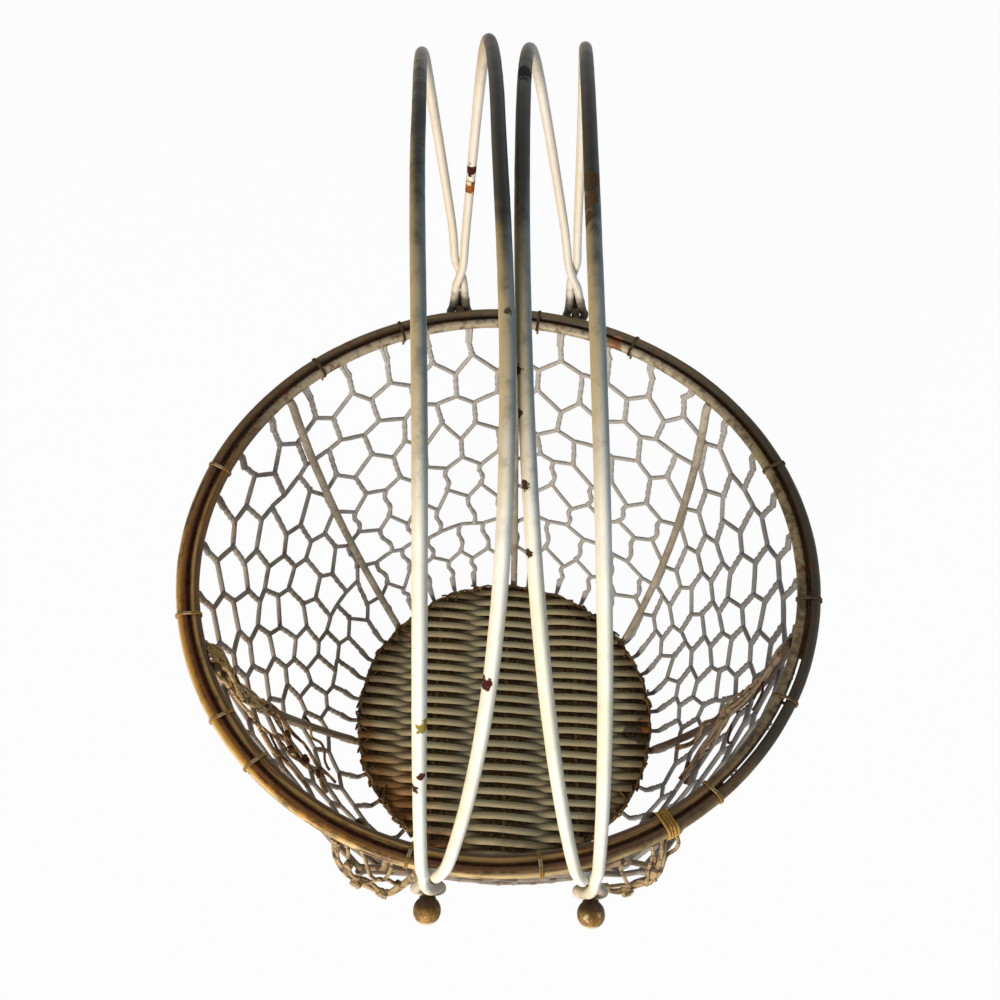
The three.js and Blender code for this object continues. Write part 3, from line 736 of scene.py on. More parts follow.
def weathered_zinc():
    """Dull zinc gone taupe: grey on the right, pale at the back, tan in the front pouches and
    rusted brown toward the front left."""
    zinc = Finish("weathered_zinc")
    broad = zinc.noise(0.025, 4)
    fine = zinc.noise(0.0020, 5, seed=6)
    zinc.base = zinc.mix(zinc.step(broad, 0.35, 0.65), "766a5e", "978c7e")
    right = zinc.step(zinc.x, 0.04, 0.09)
    zinc.coat(right * 0.7, "8e8c88")
    back = zinc.step(zinc.y + (broad - 0.5) * 0.10, 0.02, 0.12)
    zinc.coat(back * 0.85, "c2bab0")
    front = zinc.step(zinc.y, -0.120, -0.140) * zinc.step(zinc.z, 0.17, 0.20)
    zinc.coat(front * 0.6, "a68c66")
    zinc.coat(zinc.step(fine, 0.55, 0.75) * 0.5, "52463a")
    rust = zinc.step(zinc.noise(0.012, 5, seed=9) - zinc.y - zinc.x, 0.64, 0.80)
    zinc.coat(rust * 0.65, "7a5738")
    return zinc.surface(0.6 + fine * 0.3, fine, 0.00015, metallic=0.1)


def column_angle(column, down):
    """Angle of a column of the netting, part way down the wall, as the ribs beside it lean, and
    how far it hangs inside the round there, because the netting is flat from rib to rib."""
    turns, column = divmod(column, COLUMNS)
    bay = max(i for i, start in enumerate(bay_starts) if start <= column)
    following = (bay + 1) % len(rib_angles)
    wrap = 360 if following == 0 else 0
    across = (column - bay_starts[bay]) / HALF_MESHES[bay]
    near = rib_angles[bay][0] + (rib_angles[bay][1] - rib_angles[bay][0]) * down
    far = rib_angles[following][0] + (rib_angles[following][1] - rib_angles[following][0]) * down
    degrees = near + (far + wrap - near) * across + turns * 360
    width = math.radians(far + wrap - near)
    slack = BAY_FLATNESS[bay] * (1 - math.cos(width / 2)) * 4 * across * (1 - across)
    return math.radians(degrees), slack * math.sin(math.pi * down)


def net_point(column, down):
    """A point on the netting, part way down the wall; in front it bulges into two pouches."""
    low = column_angle(math.floor(column), down)
    high = column_angle(math.floor(column) + 1, down)
    share = column - math.floor(column)
    angle = low[0] + (high[0] - low[0]) * share
    slack = low[1] + (high[1] - low[1]) * share
    z = NET_TOP + (NET_BOTTOM - NET_TOP) * down
    radius = (wall_radius(z) + NET_OFFSET) * (1 - slack)
    depth = RIM_HEIGHT - z
    if depth < POUCH_DEPTH:
        bulge = math.sin(math.pi * depth / POUCH_DEPTH) ** 2
        for place in POUCHES:
            turn = (math.degrees(angle) % 360 - place) / POUCH_SPREAD
            radius += POUCH_BULGE * math.exp(-turn * turn) * bulge
    return wall_point(angle, radius, z)


def twist_ends(draw):
    """Where each twisted pair starts and ends, as column and share of the way down."""
    ends = {}
    for row in range(NET_ROWS):
        for column in range(COLUMNS):
            if (column + row) % 2:
                first, last = row == 0, row == NET_ROWS - 1
                top = NET_FIRST if first else (row + NET_POINT) / NET_ROWS
                bottom = NET_LAST if last else (row + 1 - NET_POINT) / NET_ROWS
                place = Vector((column * 0.35, row * 0.7, 0))
                sway = column + noise.noise(place) * NET_SWAY
                sag = noise.noise(place + Vector((9, 9, 9))) * NET_SAG
                ends[column, row] = [
                    (sway + draw.gauss(0, END_STRAY), down + (sag + draw.gauss(0, END_DROP)) * loose)
                    for down, loose in ((top, not first), (bottom, not last))
                ]
    return ends


def pair_of(strand, row):
    """The column of the twisted pair that a wire is in on a row, and its side of the pair."""
    return (strand, 1) if (strand + row) % 2 else (strand + 1, -1)


def outward_at(point):
    """The level direction away from the upright line through the rim's middle."""
    return Vector((point.x, point.y, 0)).normalized()


def strand_path(strand, ends):
    """One wire of the netting, from its first row of meshes to its last, with its thickness.
    Low down at the back the wires were pulled, and wave."""
    points = []
    thickness = []
    for row in range(NET_ROWS):
        link_start = points[-1] if points else None
        column, side = pair_of(strand, row)
        (start, top), (end, bottom) = ends[column % COLUMNS, row]
        shift = column - column % COLUMNS
        right, left = (RIBS[name][0] for name in PULLED_BETWEEN)
        behind = right < math.degrees(column_angle(column, 0.5)[0]) % 360 < left
        pulled = behind and row >= NET_ROWS - PULLED_ROWS
        for i in range(-1, TWIST_STEPS + 2):
            free = i in (-1, TWIST_STEPS + 1)
            share = min(max(i / TWIST_STEPS, -TWIST_OVERRUN), 1 + TWIST_OVERRUN)
            turn = 2 * math.pi * NET_TURNS * min(max(share, 0), 1)
            place = start + (end - start) * share + shift
            down = min(max(top + (bottom - top) * share, 0), 1)
            middle = net_point(place, down)
            around = (net_point(place + 0.02, down) - middle).normalized()
            reach = TWIST_REACH * side * (PARTED_REACH if free else 1.0)
            wave = PULLED_WAVE * math.sin(2 * math.pi * share) if pulled else 0
            point = middle + around * (reach * math.cos(turn) + wave)
            point = point + outward_at(middle) * reach * math.sin(turn)
            if i == -1 and link_start:
                points.append(link_start.lerp(point, 0.5))
                thickness.append(PULLED_THICKNESS if pulled else CROSS_THICKNESS)
            points.append(point)
            thickness.append(1.0 if free else TWIST_THICKNESS)
    return points, thickness


def top_end(strand):
    """The end of a wire above its first twist, spread a little and nipped under the rings."""
    column, side = pair_of(strand, 0)
    angle = column_angle(column, 0)[0]
    bend = ((0.0013, 0.1462, 0.2318), (0.0011, 0.1448, 0.2294), (0.0007, 0.1432, 0.2274))
    return [turned(radius, angle + side * away / INNER_RADIUS, height)
            for away, radius, height in bend]


def foot_hook(path, strand):
    """The foot of a wire, turned in under the woven bottom against the hoop."""
    foot = path[-1] - Vector((BASE_SHIFT, 0, 0))
    angle = math.atan2(foot.y, foot.x)
    side = pair_of(strand, NET_ROWS - 1)[1]
    bend = ((0.1030, 0.0050, 0.0006), (0.1006, 0.0042, 0.0008), (0.0984, 0.0040, 0.0008),
            (0.0968, 0.0040, 0.0008))
    return [round_bottom(radius, angle + side * apart / radius, height)
            for radius, height, apart in bend]


ZINC = weathered_zinc()
ends = twist_ends(random.Random(23))
netting = WirePaths()
for strand in range(COLUMNS):
    path, thickness = strand_path(strand, ends)
    above, below = top_end(strand), foot_hook(path, strand)
    thickness = [1.0] * len(above) + thickness + [1.0] * len(below)
    netting.add(above + path + below, thickness=thickness)
piece = bend_wire("hexagonal_netting", netting, ZINC, NET_WIRE, sides=7, wander=0.0002,
                  wander_size=0.010, seed=6.6)
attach(piece, "basket")
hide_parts("net_back_right", "net_back_left", "net_left", "net_front_left", "net_front",
            "net_front_right", "net_right")

# Lashings
# Fourteen short lengths of wire, each wound twice round both rings and twisted together under
# them, hold the rings and the netting's edge. A thicker one sits over the front right rib.

LASHING_WIRE = 0.0008
RIB_HEAD_WIRE = 0.0013
WIND_STEPS = 28
WIND_START = math.radians(-95)
TAIL_RADIUS = 0.1462
TAIL_STEPS = 12
LASHINGS = (61.33, 82.67, 112.55, 132.18, 163.33, 195.33, 216.25, 226.5, 256.9, 277.6, 308.75,
            330.25, 350.83, 20.33)
RIB_HEAD_LASHING = 299.3
HEAD = (0.0722, -0.1287, 0.2350)


def stained_wire():
    """Wire of the lashings and folds: rusty brown, tan on the left and in front, bleached on the
    right. On top of the rings it is gold toward the lamp as a painted highlight and dark brown away
    from it as painted shade, and pale between the rings as a painted highlight."""
    wire = Finish("stained_wire")
    patch = wire.noise(0.006, 4)
    grain = wire.noise(0.0014, 4, seed=2)
    wire.base = wire.mix(wire.step(patch, 0.38, 0.62), "4a2f18", "9a7a4e")
    left = wire.step(wire.x, -0.09, -0.11) * wire.step(wire.z, 0.13, 0.16)
    wire.coat(left * wire.step(patch, 0.36, 0.52) * 0.85, "bd9d6c")
    right = wire.step(wire.x, 0.09, 0.12) * wire.step(wire.z, 0.06, 0.10)
    wire.coat(right * wire.step(patch, 0.35, 0.5) * 0.8, "a38d72")
    front = wire.step(wire.y, -0.125, -0.135)
    wire.coat(front * wire.step(patch, 0.36, 0.52) * 0.75, "b39a72")
    above = wire.step(wire.z, 0.2285, 0.2300) * (1 - wire.step(wire.spot(HEAD, 0.012), 0, 1))
    toward = wire.step(wire.x * -0.55 - wire.y * 0.8, -0.04, 0.08)
    # Painted highlight and shade on top of the rings: gold toward the lamp, dark brown away from it.
    wire.coat(above * 0.85, wire.mix(toward, "3a2814", "a07c40"))
    off = wire.maths("ABSOLUTE", wire.from_middle() - BETWEEN_RINGS)
    # Painted highlight: pale where the wire crosses between the rings toward the lamp.
    between = wire.step(off, 0.0022, 0.0012) * above * toward
    wire.coat(between * 0.85, "cdb48c")
    wire.coat(wire.spot(HEAD, 0.009) * 0.7, "c4933c")
    wire.coat(wire.step(grain, 0.58, 0.70) * 0.6, "2e1a0c")
    return wire.surface(0.6 + grain * 0.3, grain, 0.0002, metallic=0.1)


def wind_round_rings(paths, degrees, turns, wire):
    """Turns of wire side by side round both rings, their two ends twisted together below."""
    reach = RIM_WIRE / 2 + wire / 2 - 0.0001
    out = (math.cos(RING_SLANT), math.sin(RING_SLANT))
    rings = ((RIM_RADIUS, RIM_HEIGHT), (INNER_RADIUS, INNER_HEIGHT))
    points = []
    for i in range(turns * WIND_STEPS + 1):
        tilt = WIND_START + 2 * math.pi * i / WIND_STEPS
        radius, height = rings[0] if math.cos(tilt) > 0 else rings[1]
        radius += reach * (out[0] * math.cos(tilt) - out[1] * math.sin(tilt))
        height += reach * (out[1] * math.cos(tilt) + out[0] * math.sin(tilt))
        angle = math.radians(degrees) + (i / WIND_STEPS - turns / 2) * wire * 1.04 / RIM_RADIUS
        points.append(turned(radius, angle, height))
    paths.add(points)
    low = RIM_HEIGHT - RIM_WIRE / 2 - 0.0022
    for side in (0, math.pi):
        tail = []
        for i in range(TAIL_STEPS):
            turn = side + 1.4 * i
            angle = math.radians(degrees) + wire * 0.5 * math.cos(turn) / RIM_RADIUS
            radius = TAIL_RADIUS + wire * 0.5 * math.sin(turn)
            tail.append(turned(radius, angle, low - 0.0005 * i))
        paths.add(tail)


STAINED = stained_wire()
lashings = WirePaths()
for degrees in LASHINGS:
    wind_round_rings(lashings, degrees, 2, LASHING_WIRE)
piece = bend_wire("rim_lashings", lashings, STAINED, LASHING_WIRE, sides=8, lumps=0.00005,
                  lump_size=0.002, seed=1.7)
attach(piece, "basket")
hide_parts(*(f"rim_tie_{number:02d}" for number in range(1, 15)))

rib_head = WirePaths()
wind_round_rings(rib_head, RIB_HEAD_LASHING, 4, RIB_HEAD_WIRE)
piece = bend_wire("rib_head_lashing", rib_head, STAINED, RIB_HEAD_WIRE, sides=8, wander=0.0003,
                  wander_size=0.004, lumps=0.0001, lump_size=0.002, seed=4.4)
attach(piece, "basket")

# Folds in the netting
# Where the strip of netting meets itself on the left, and where it was pushed in on the right,
# its wires are bunched along the rib, rusted together in knots, with a few stray ends.

FOLD_WIRE = 0.0017
KNOT_WIRE = 0.0013
KNOT_POINTS = 34
KNOT_TURN = 11
STRAND_DRIFT = 0.45
STRAND_LIFT = 0.0010
LEFT_SEAM = ((203.8, 234, 3.0), (204.0, 232.2, 1.2), (204.4, 228), (205.3, 207), (204.8, 190),
             (203.6, 172), (202.0, 155), (200.3, 134))
UNDER_SEAM = ((205.8, 231.5, 3.2), (206.2, 226, 1.0), (205.6, 205), (203.0, 172), (199.8, 140))
LEFT_FANS = (
    (2, ((198.4, 138), (199.7, 120), (204.5, 112), (208.9, 92), (211.5, 80), (216.7, 79))),
    (2, ((197.6, 128), (198.5, 104), (201.4, 89), (204.7, 76), (207.4, 64), (211.4, 55))),
    (1, ((205.3, 199), (207.6, 191), (208.5, 176), (209.9, 160), (213.5, 148), (216.0, 131),
         (218.6, 111))),
    (1, ((208.1, 186), (207.4, 157), (207.6, 127), (209.2, 108), (210.3, 87))),
    (1, ((192.4, 71), (196.6, 63), (199.9, 53), (207.0, 53))),
)
RIGHT_SEAM = ((343.4, 231, 5.5), (341.4, 224, 2.0), (340.2, 214, 0.5), (340.0, 204), (341.3, 185),
              (342.8, 163), (343.6, 144), (344.2, 128), (343.9, 116, 1.0), (342.6, 106, 1.5),
              (340.2, 96, 1.5), (337.2, 86, 1.0), (334.0, 77, 1.0), (330.7, 72, 1.0))
RIGHT_FANS = (((346.5, 108), (346.3, 89), (345.4, 75), (343.5, 60), (343.7, 41)),
              ((343.6, 146), (341.6, 118), (338.0, 98), (333.6, 86), (328.0, 84)))
KNOTS = ((200.8, 140, 0.0030), (203.4, 166, 0.0022), (203.4, 111, 0.0026), (208.0, 115, 0.0026),
         (208.4, 93, 0.0032), (211.5, 81, 0.0030), (341.2, 186, 0.0022), (344.0, 150, 0.0026),
         (334.4, 76, 0.0028), (331.0, 73, 0.0022))
STRAY_ENDS = (((344.1, 174), (339.5, 192), (335.6, 201), (333.6, 190)),
              ((338.0, 137), (335.0, 141), (332.7, 145), (330.6, 158)),
              ((341.5, 200), (340.0, 190), (338.6, 176)),
              ((209.0, 150), (213.5, 148), (214.5, 138)))


def wall_line(places, lift, steps=6):
    """A line down the netting through places given as degrees, height and extra lift in mm; a
    negative lift brings it inside the wall."""
    points = []
    for degrees, height, *extra in places:
        z = height / 1000
        radius = wall_radius(z) + NET_OFFSET + lift + sum(extra) / 1000
        points.append(wall_point(math.radians(degrees), radius, z))
    return smooth_path(points, steps)


def bunch(paths, line, strands, widths, draw, thickness=1.0):
    """Strands side by side along a line; widths are the bunch's at the start, middle and end."""
    last = len(line) - 1
    for strand in range(strands):
        lane = (strand + 0.5) / strands - 0.5
        phase = draw.uniform(0, 2 * math.pi)
        points = []
        for i, point in enumerate(line):
            share = i / last
            along = line[min(i + 1, last)] - line[max(i - 1, 0)]
            outward = outward_at(point)
            across = along.cross(outward).normalized()
            early, late = (widths[0], widths[1]) if share < 0.5 else (widths[1], widths[2])
            width = early + (late - early) * ((share * 2) % 1 if share < 1 else 1)
            drift = (STRAND_DRIFT / strands) * math.sin(11 * share + phase)
            lift = STRAND_LIFT * math.sin(13 * share + 2 * phase)
            points.append(point + across * (lane + drift) * width + outward * lift)
        paths.add(points, thickness=[thickness * draw.uniform(0.8, 1.1)] * len(points))


def knot(paths, place, size, draw):
    """A few turns of wire pulled into a knot about a place on the wall."""
    outward = outward_at(place)
    sideways = Vector((-outward.y, outward.x, 0))
    points = []
    tilt = draw.uniform(0, math.pi)
    for i in range(KNOT_POINTS):
        turn = 2 * math.pi * i / KNOT_TURN + tilt
        reach = size * (0.75 + 0.25 * math.sin(1.7 * i))
        point = place + sideways * reach * math.cos(turn) * 0.8
        point = point + Vector((0, 0, 1)) * reach * math.sin(turn)
        points.append(point + outward * size * 0.4 * math.sin(turn * 1.6 + tilt))
    paths.add(points, thickness=[0.85] * len(points))


draw = random.Random(31)
folds = WirePaths()
bunch(folds, wall_line(LEFT_SEAM, -0.0067), 9, (0.0112, 0.0105, 0.0062), draw)
bunch(folds, wall_line(UNDER_SEAM, -0.0040), 4, (0.0060, 0.0080, 0.0040), draw, 0.9)
for strands, fan in LEFT_FANS:
    bunch(folds, wall_line(fan, -0.0046), strands, (0.0030, 0.0042, 0.0030), draw, 0.85)
bunch(folds, wall_line(RIGHT_SEAM, -0.0069), 5, (0.0045, 0.0090, 0.0035), draw)
for fan in RIGHT_FANS:
    bunch(folds, wall_line(fan, -0.0050), 2, (0.0035, 0.0050, 0.0030), draw, 0.9)
piece = bend_wire("netting_folds", folds, STAINED, FOLD_WIRE, sides=7, wander=0.0003,
                  wander_size=0.008, lumps=0.0001, lump_size=0.002, seed=5.1)
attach(piece, "basket")

knots = WirePaths()
for degrees, height, size in KNOTS:
    knot(knots, wall_line(((degrees, height), (degrees, height - 1)), -0.0062, 1)[0], size, draw)
for stray in STRAY_ENDS:
    line = wall_line(stray, -0.0060, 5)
    knots.add(line, thickness=[0.8] * len(line))
piece = bend_wire("netting_knots", knots, DARK_RUST, KNOT_WIRE, sides=6, wander=0.0003,
                  wander_size=0.004, lumps=0.0001, lump_size=0.002, seed=2.9)
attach(piece, "basket")

# Front pouches
# In front the netting hangs out under the rings in two loose pouches, one beside each front rib;
# their lower edge is several wires drawn together and knotted.

POUCH_LINES = (
    (3, ((-65.1, -137.5, 228), (-65.0, -141.0, 212), (-58.6, -146.7, 196), (-47.0, -150.6, 194),
         (-39.4, -148.1, 200), (-31.4, -146.4, 214), (-29.5, -143.8, 226))),
    (1, ((-60.2, -134.0, 229), (-60.7, -142.4, 215), (-57.5, -146.0, 202), (-47.5, -149.0, 197))),
    (1, ((-53.0, -138.4, 228), (-53.8, -143.2, 212), (-47.5, -147.0, 202), (-40.0, -147.4, 203))),
    (1, ((-40.0, -141.6, 228), (-43.5, -145.5, 214), (-47.6, -147.5, 204), (-55.0, -146.4, 199))),
    (3, ((71.6, -131.6, 229), (71.4, -138.0, 213), (68.8, -142.6, 196), (59.5, -146.6, 191),
         (49.5, -147.0, 196), (43.5, -146.0, 208), (40.5, -143.2, 224))),
    (2, ((66.2, -134.7, 228), (69.0, -139.8, 206), (66.8, -143.0, 197), (56.0, -146.2, 195),
         (46.9, -146.2, 201))),
    (1, ((54.4, -139.6, 228), (55.0, -144.0, 212), (60.5, -145.6, 200), (67.8, -143.0, 197))),
    (1, ((73.5, -131.0, 232), (76.9, -132.6, 226), (76.5, -135.0, 208), (70.8, -141.6, 197))),
)
POUCH_KNOTS = (
    ((-58.6, -147.0, 196), 0.0028), ((-60.7, -143.4, 214), 0.0020),
    ((-47.0, -150.6, 195), 0.0028), ((69.4, -142.4, 196), 0.0032),
    ((59.5, -147.0, 192), 0.0030), ((-40.0, -148.0, 201), 0.0020),
    ((49.0, -146.8, 198), 0.0022),
)

pouches = WirePaths()
for strands, places in POUCH_LINES:
    line = smooth_path([Vector(place) / 1000 for place in places], 6)
    bunch(pouches, line, strands, (0.0016 * strands, 0.0012 * strands, 0.0016 * strands), draw)
for place, size in POUCH_KNOTS:
    knot(pouches, Vector(place) / 1000, size, draw)
piece = bend_wire("netting_pouches", pouches, STAINED, FOLD_WIRE, sides=8, wander=0.0002,
                  wander_size=0.010, lumps=0.00005, lump_size=0.003, seed=7.7)
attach(piece, "basket")

# Studs
# Four pins welded under the rings, two in front and two behind, each with a cast ball pressed
# on its end to keep the handle's eye on. The balls are brass, brown with age.

STUD_SPACING = 0.0654
STUD_OFFSET = 0.0072
STUD_WIRE = 0.0046
BALL_DIAMETER = 0.0112
HANDLE_WIRE = 0.0045
EYE_RIM_GAP = 0.00035
EYE_BALL_GAP = 0.00075
PIN_DRAWN = STUD_WIRE * 0.99  # leaves room for the lumps of the paint
PIN_SHORT = 0.0030
PIN_STEPS = 12
BALL_SIDES = 32
BALL_RINGS = 20
PIN_HEIGHT = RIM_HEIGHT - RIM_WIRE / 2 - SEAT - STUD_WIRE / 2
EYE_PLANE = RIM_RADIUS + RIM_WIRE / 2 + EYE_RIM_GAP + HANDLE_WIRE / 2
BALL_PLANE = EYE_PLANE + HANDLE_WIRE / 2 + EYE_BALL_GAP + BALL_DIAMETER / 2


def aged_brass():
    """Brass gone brown, with painted shade on top and a painted highlight below; near black on the
    back studs as painted shade.
    """
    brass = Finish("aged_brass")
    broad = brass.noise(0.004, 4)
    fine = brass.noise(0.0010, 5, seed=1)
    brass.base = brass.mix(brass.step(broad, 0.35, 0.65), "62441c", "a0783a")
    brass.coat(brass.step(fine, 0.56, 0.68) * 0.7, "2f2012")
    pale = brass.step(brass.noise(0.003, 3, seed=8), 0.58, 0.68)
    brass.coat(pale * 0.6, "d8caa6")
    # Painted shade on the ball's upper side and a painted highlight on its lower edge, along a slope
    # rising up and toward the rings.
    rise = (brass.y + BALL_PLANE) * 0.845 + (brass.z - PIN_HEIGHT) * 0.534
    ragged = rise + (broad - 0.5) * 0.0018
    brass.coat(brass.step(ragged, 0.0008, 0.0032) * 0.85, "2a1c0d")
    brass.coat(brass.step(ragged, -0.0026, -0.0044) * 0.75, "e6dabb")
    # Painted shade: the balls on the back studs near black.
    brass.coat(brass.step(brass.y, 0.0, 0.1) * 0.95, "150d07")
    return brass.surface(0.40 + fine * 0.35, fine, 0.0003, metallic=0.3)


BRASS = aged_brass()


def cast_ball(name, centre, outward):
    """A ball with a short collar toward the eye, its surface a little uneven from the casting."""
    radius = BALL_DIAMETER / 2
    outline = [(0.0026, -0.0051), (0.0031, -0.0053), (0.0034, -0.0050)]
    for i in range(1, BALL_RINGS):
        tilt = math.radians(-62 + 152 * i / BALL_RINGS)
        outline.append((radius * math.cos(tilt), radius * math.sin(tilt)))
    shell = bmesh.new()
    rings = []
    for reach, along in outline:
        ring = []
        for turn in round_angles(BALL_SIDES):
            point = outward * along + Vector((math.cos(turn), 0, math.sin(turn))) * reach
            bump = 1 + 0.010 * noise.noise((centre + point) * 500)
            ring.append(shell.verts.new(centre + point * bump))
        rings.append(ring)
    for ring, following in zip(rings, rings[1:]):
        bridge(shell, ring, following)
    shell.faces.new(rings[0])
    tip = shell.verts.new(centre + outward * radius)
    for i in range(BALL_SIDES):
        shell.faces.new((rings[-1][i - 1], rings[-1][i], tip))
    return smooth_shell(name, shell, BRASS)


for side, handle in ((-1, "left"), (1, "right")):
    x = STUD_OFFSET + side * STUD_SPACING / 2
    for end, outward in (("front", Vector((0, -1, 0))), ("back", Vector((0, 1, 0)))):
        seat = math.sqrt((INNER_RADIUS + RIM_WIRE / 2 + SEAT) ** 2 - x ** 2)
        foot = Vector((x, 0, PIN_HEIGHT)) + outward * seat
        tip = Vector((x, 0, PIN_HEIGHT)) + outward * (BALL_PLANE - PIN_SHORT)
        pin = WirePaths()
        pin.add([foot.lerp(tip, i / PIN_STEPS) for i in range(PIN_STEPS + 1)],
                thickness=[0.80, 0.95] + [1.0] * (PIN_STEPS - 1))
        piece = bend_wire(f"stud_pin_{end}_{handle}", pin, RIM_PAINT, PIN_DRAWN,
                          sides=18, lumps=0.00006, lump_size=0.002, seed=x * 100)
        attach(piece, "basket")
        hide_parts(f"pin_{end}_{handle}")
        centre = Vector((x, 0, PIN_HEIGHT)) + outward * BALL_PLANE
        piece = cast_ball(f"stud_ball_{end}_{handle}", centre, outward)
        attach(piece, "basket")
        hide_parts(f"ball_{end}_{handle}")

# Handles
# Each is two 4.5 mm wires that go half round both studs, cross in a half turn above them and
# spread along the arch. Cream enamel, nearly black at the top from wear and painted shade, chipped
# down to the rust.

HANDLE_BULGE = 0.0079
HANDLE_HEIGHT = 0.240
HANDLE_SQUARENESS = 2.3
EYE_CLEARANCE = 0.0005
NECK_HEIGHT = 0.011
NECK_LENGTH = 0.018
SPLIT_HEIGHT = 0.030
BACK_SPLIT_HEIGHT = 0.044
BACK_NECK_HEIGHT = 0.030
BACK_NECK_LENGTH = 0.026
BACK_PINCH = 0.0006
BACK_PINCH_HEIGHT = 0.010
NECK_SHARES = (-0.5, 0, 0.5, 1)
TWIST_GAP = 0.00045
EYE_RADIUS = STUD_WIRE / 2 + EYE_CLEARANCE + HANDLE_WIRE / 2
PAIR_HALF = (HANDLE_WIRE + TWIST_GAP) / 2
HANDLE_REACH = EYE_PLANE + HANDLE_BULGE
ARCH_START = math.radians(12)
ARCH_STEPS = 22
LEG_STEPS = 3
EYE_TURNS = (1, 0.96, 0.8, 0.64, 0.48, 0.32)
HANDLES = {
    "left": {"side": -1, "lean": 2.603, "front_warp": 0.0065, "back_warp": 0.0048,
             "apex_half_spread": 0.0117, "outer": 0.973, "inner": 1.004},
    "right": {"side": 1, "lean": 6.291, "front_warp": 0, "back_warp": 0,
              "apex_half_spread": 0.0098, "outer": 0.992, "inner": 0.998},
}
CHIPS = (
    ("3a0d04", 0.0040, (-0.0180, 0.1508, 0.3338)),
    ("3a1604", 0.0050, (-0.0185, 0.1538, 0.3204)),
    ("9a5216", 0.0036, (-0.0185, 0.1540, 0.3206)),
    ("dcc99c", 0.0016, (-0.0190, 0.1530, 0.3235)),
    ("3c0703", 0.0025, (-0.0032, -0.1324, 0.3906)),
    ("4a4538", 0.0010, (0.0007, -0.0575, 0.4623)),
    ("8f7a30", 0.0026, (-0.0208, -0.1392, 0.3727)),
    ("401405", 0.0016, (-0.0224, -0.1479, 0.3526)),
    ("2c1006", 0.0021, (-0.0250, -0.1494, 0.3460)),
    ("0b0906", 0.0050, (0.0035, 0.0400, 0.4655)),
    ("0b0906", 0.0036, (0.0035, 0.0560, 0.4640)),
    ("564022", 0.0033, (0.0221, -0.0140, 0.4690)),
    ("5e4726", 0.0030, (0.0221, -0.0210, 0.4680)),
    ("564022", 0.0024, (0.0219, -0.0275, 0.4672)),
    ("3a220c", 0.0014, (0.0037, -0.0696, 0.4529)),
    ("3a220c", 0.0013, (0.0043, -0.0794, 0.4471)),
    ("3a220c", 0.0015, (0.0063, -0.0950, 0.4363)),
    ("3a220c", 0.0013, (0.0076, -0.1082, 0.4232)),
    ("94803a", 0.0026, (-0.0220, -0.1580, 0.2500)),
)


def worn_enamel():
    """Cream enamel, near black over the top of the arch from a worn patina and painted shade, tan on
    each wire's left side and blue-grey on its right as painted light and shade, near black at the
    lower ends of the back eyes as painted shade, and chipped to the rust in a few places."""
    enamel = Finish("worn_cream_enamel")
    facing = enamel.add("ShaderNodeAttribute", output="Fac", attribute_name="facing_right")
    broad = enamel.noise(0.040, 3, stretch=(1, 1, 2))
    mottle = enamel.noise(0.0060, 4, seed=2)
    fine = enamel.noise(0.0009, 3, seed=4)
    enamel.base = enamel.mix(enamel.step(broad, 0.35, 0.65), "f7f4ea", "efe6cc")
    # Partly a worn patina, partly painted shade: khaki from the middle of the legs up, with the grey
    # mottle stronger there.
    height = enamel.z + enamel.y * 0.12 + (mottle - 0.5) * 0.010
    dulled_and_shaded = enamel.step(height, 0.405, 0.455)
    enamel.coat(dulled_and_shaded * 0.80, "958768")
    greyed = enamel.step(mottle, 0.50, 0.66) * (0.10 + dulled_and_shaded * 0.40)
    enamel.coat(greyed, "59625f")
    back = enamel.step(enamel.y, 0, 0.03)
    enamel.coat(back * 0.35, "dcc6b6")
    # Near black over the top of the arch: worn patina and painted shade.
    dark = enamel.step(height, 0.4525, 0.4685)
    enamel.coat(dark * 0.94, "26241a")
    # Painted light and shade by side: tan, warm light, on each wire's left side and blue-grey, cool
    # shade, on its right.
    tan = enamel.step(facing, 0.00, -0.70) * (dulled_and_shaded * 0.30 - dark * 0.15 + 0.40)
    enamel.coat(tan, "b89a60")
    blue = enamel.step(facing, 0.05, 0.75) * (dulled_and_shaded * 0.35 - dark * 0.30 + 0.45)
    enamel.coat(blue * (1 - back * 0.6), "6a8896")
    # Nearer black at the very top: worn patina and painted shade.
    apex = enamel.step(height, 0.4625, 0.4680)
    enamel.coat(apex * 0.85, "080705")
    low = enamel.step(enamel.z + (mottle - 0.5) * 0.02, 0.252, 0.236)
    enamel.coat(low * 0.55, "957a4c")
    # Painted shade: the lower ends of the back eyes near black.
    behind = low * enamel.step(enamel.y, 0, 0.1)
    enamel.coat(behind * 0.9, "1c120b")
    specks = enamel.step(enamel.noise(0.0024, 2, seed=6), 0.73, 0.76)
    enamel.coat(specks * 0.7, "4a3420")
    chipped = 0
    for shade, radius, place in CHIPS:
        chip = enamel.spot(place, radius, rough=0.8)
        enamel.coat(chip, shade)
        chipped = chip + chipped
    relief = mottle * 0.4 + fine * 0.4 - specks - chipped
    roughness = 0.42 + mottle * 0.25 + chipped * 0.4
    return enamel.surface(roughness, relief, 0.0002, shine=0.25)


def mark_facing(mesh):
    """Notes on each point how far it faces right, for the painted light and shade that differ by
    side.
    """
    mesh.attributes.new("facing_right", "FLOAT", "POINT")
    facing = [normal.vector.x for normal in mesh.vertex_normals]
    mesh.attributes["facing_right"].data.foreach_set("value", facing)


def arch_reach(t):
    """How far in front of the basket's middle the arch is; it is behind where this is negative."""
    return HANDLE_REACH * math.copysign(abs(math.cos(t)) ** (2 / HANDLE_SQUARENESS), math.cos(t))


def arch_height(t, apex):
    """Height of the arch over the studs."""
    return apex * math.sin(t) ** (2 / HANDLE_SQUARENESS)


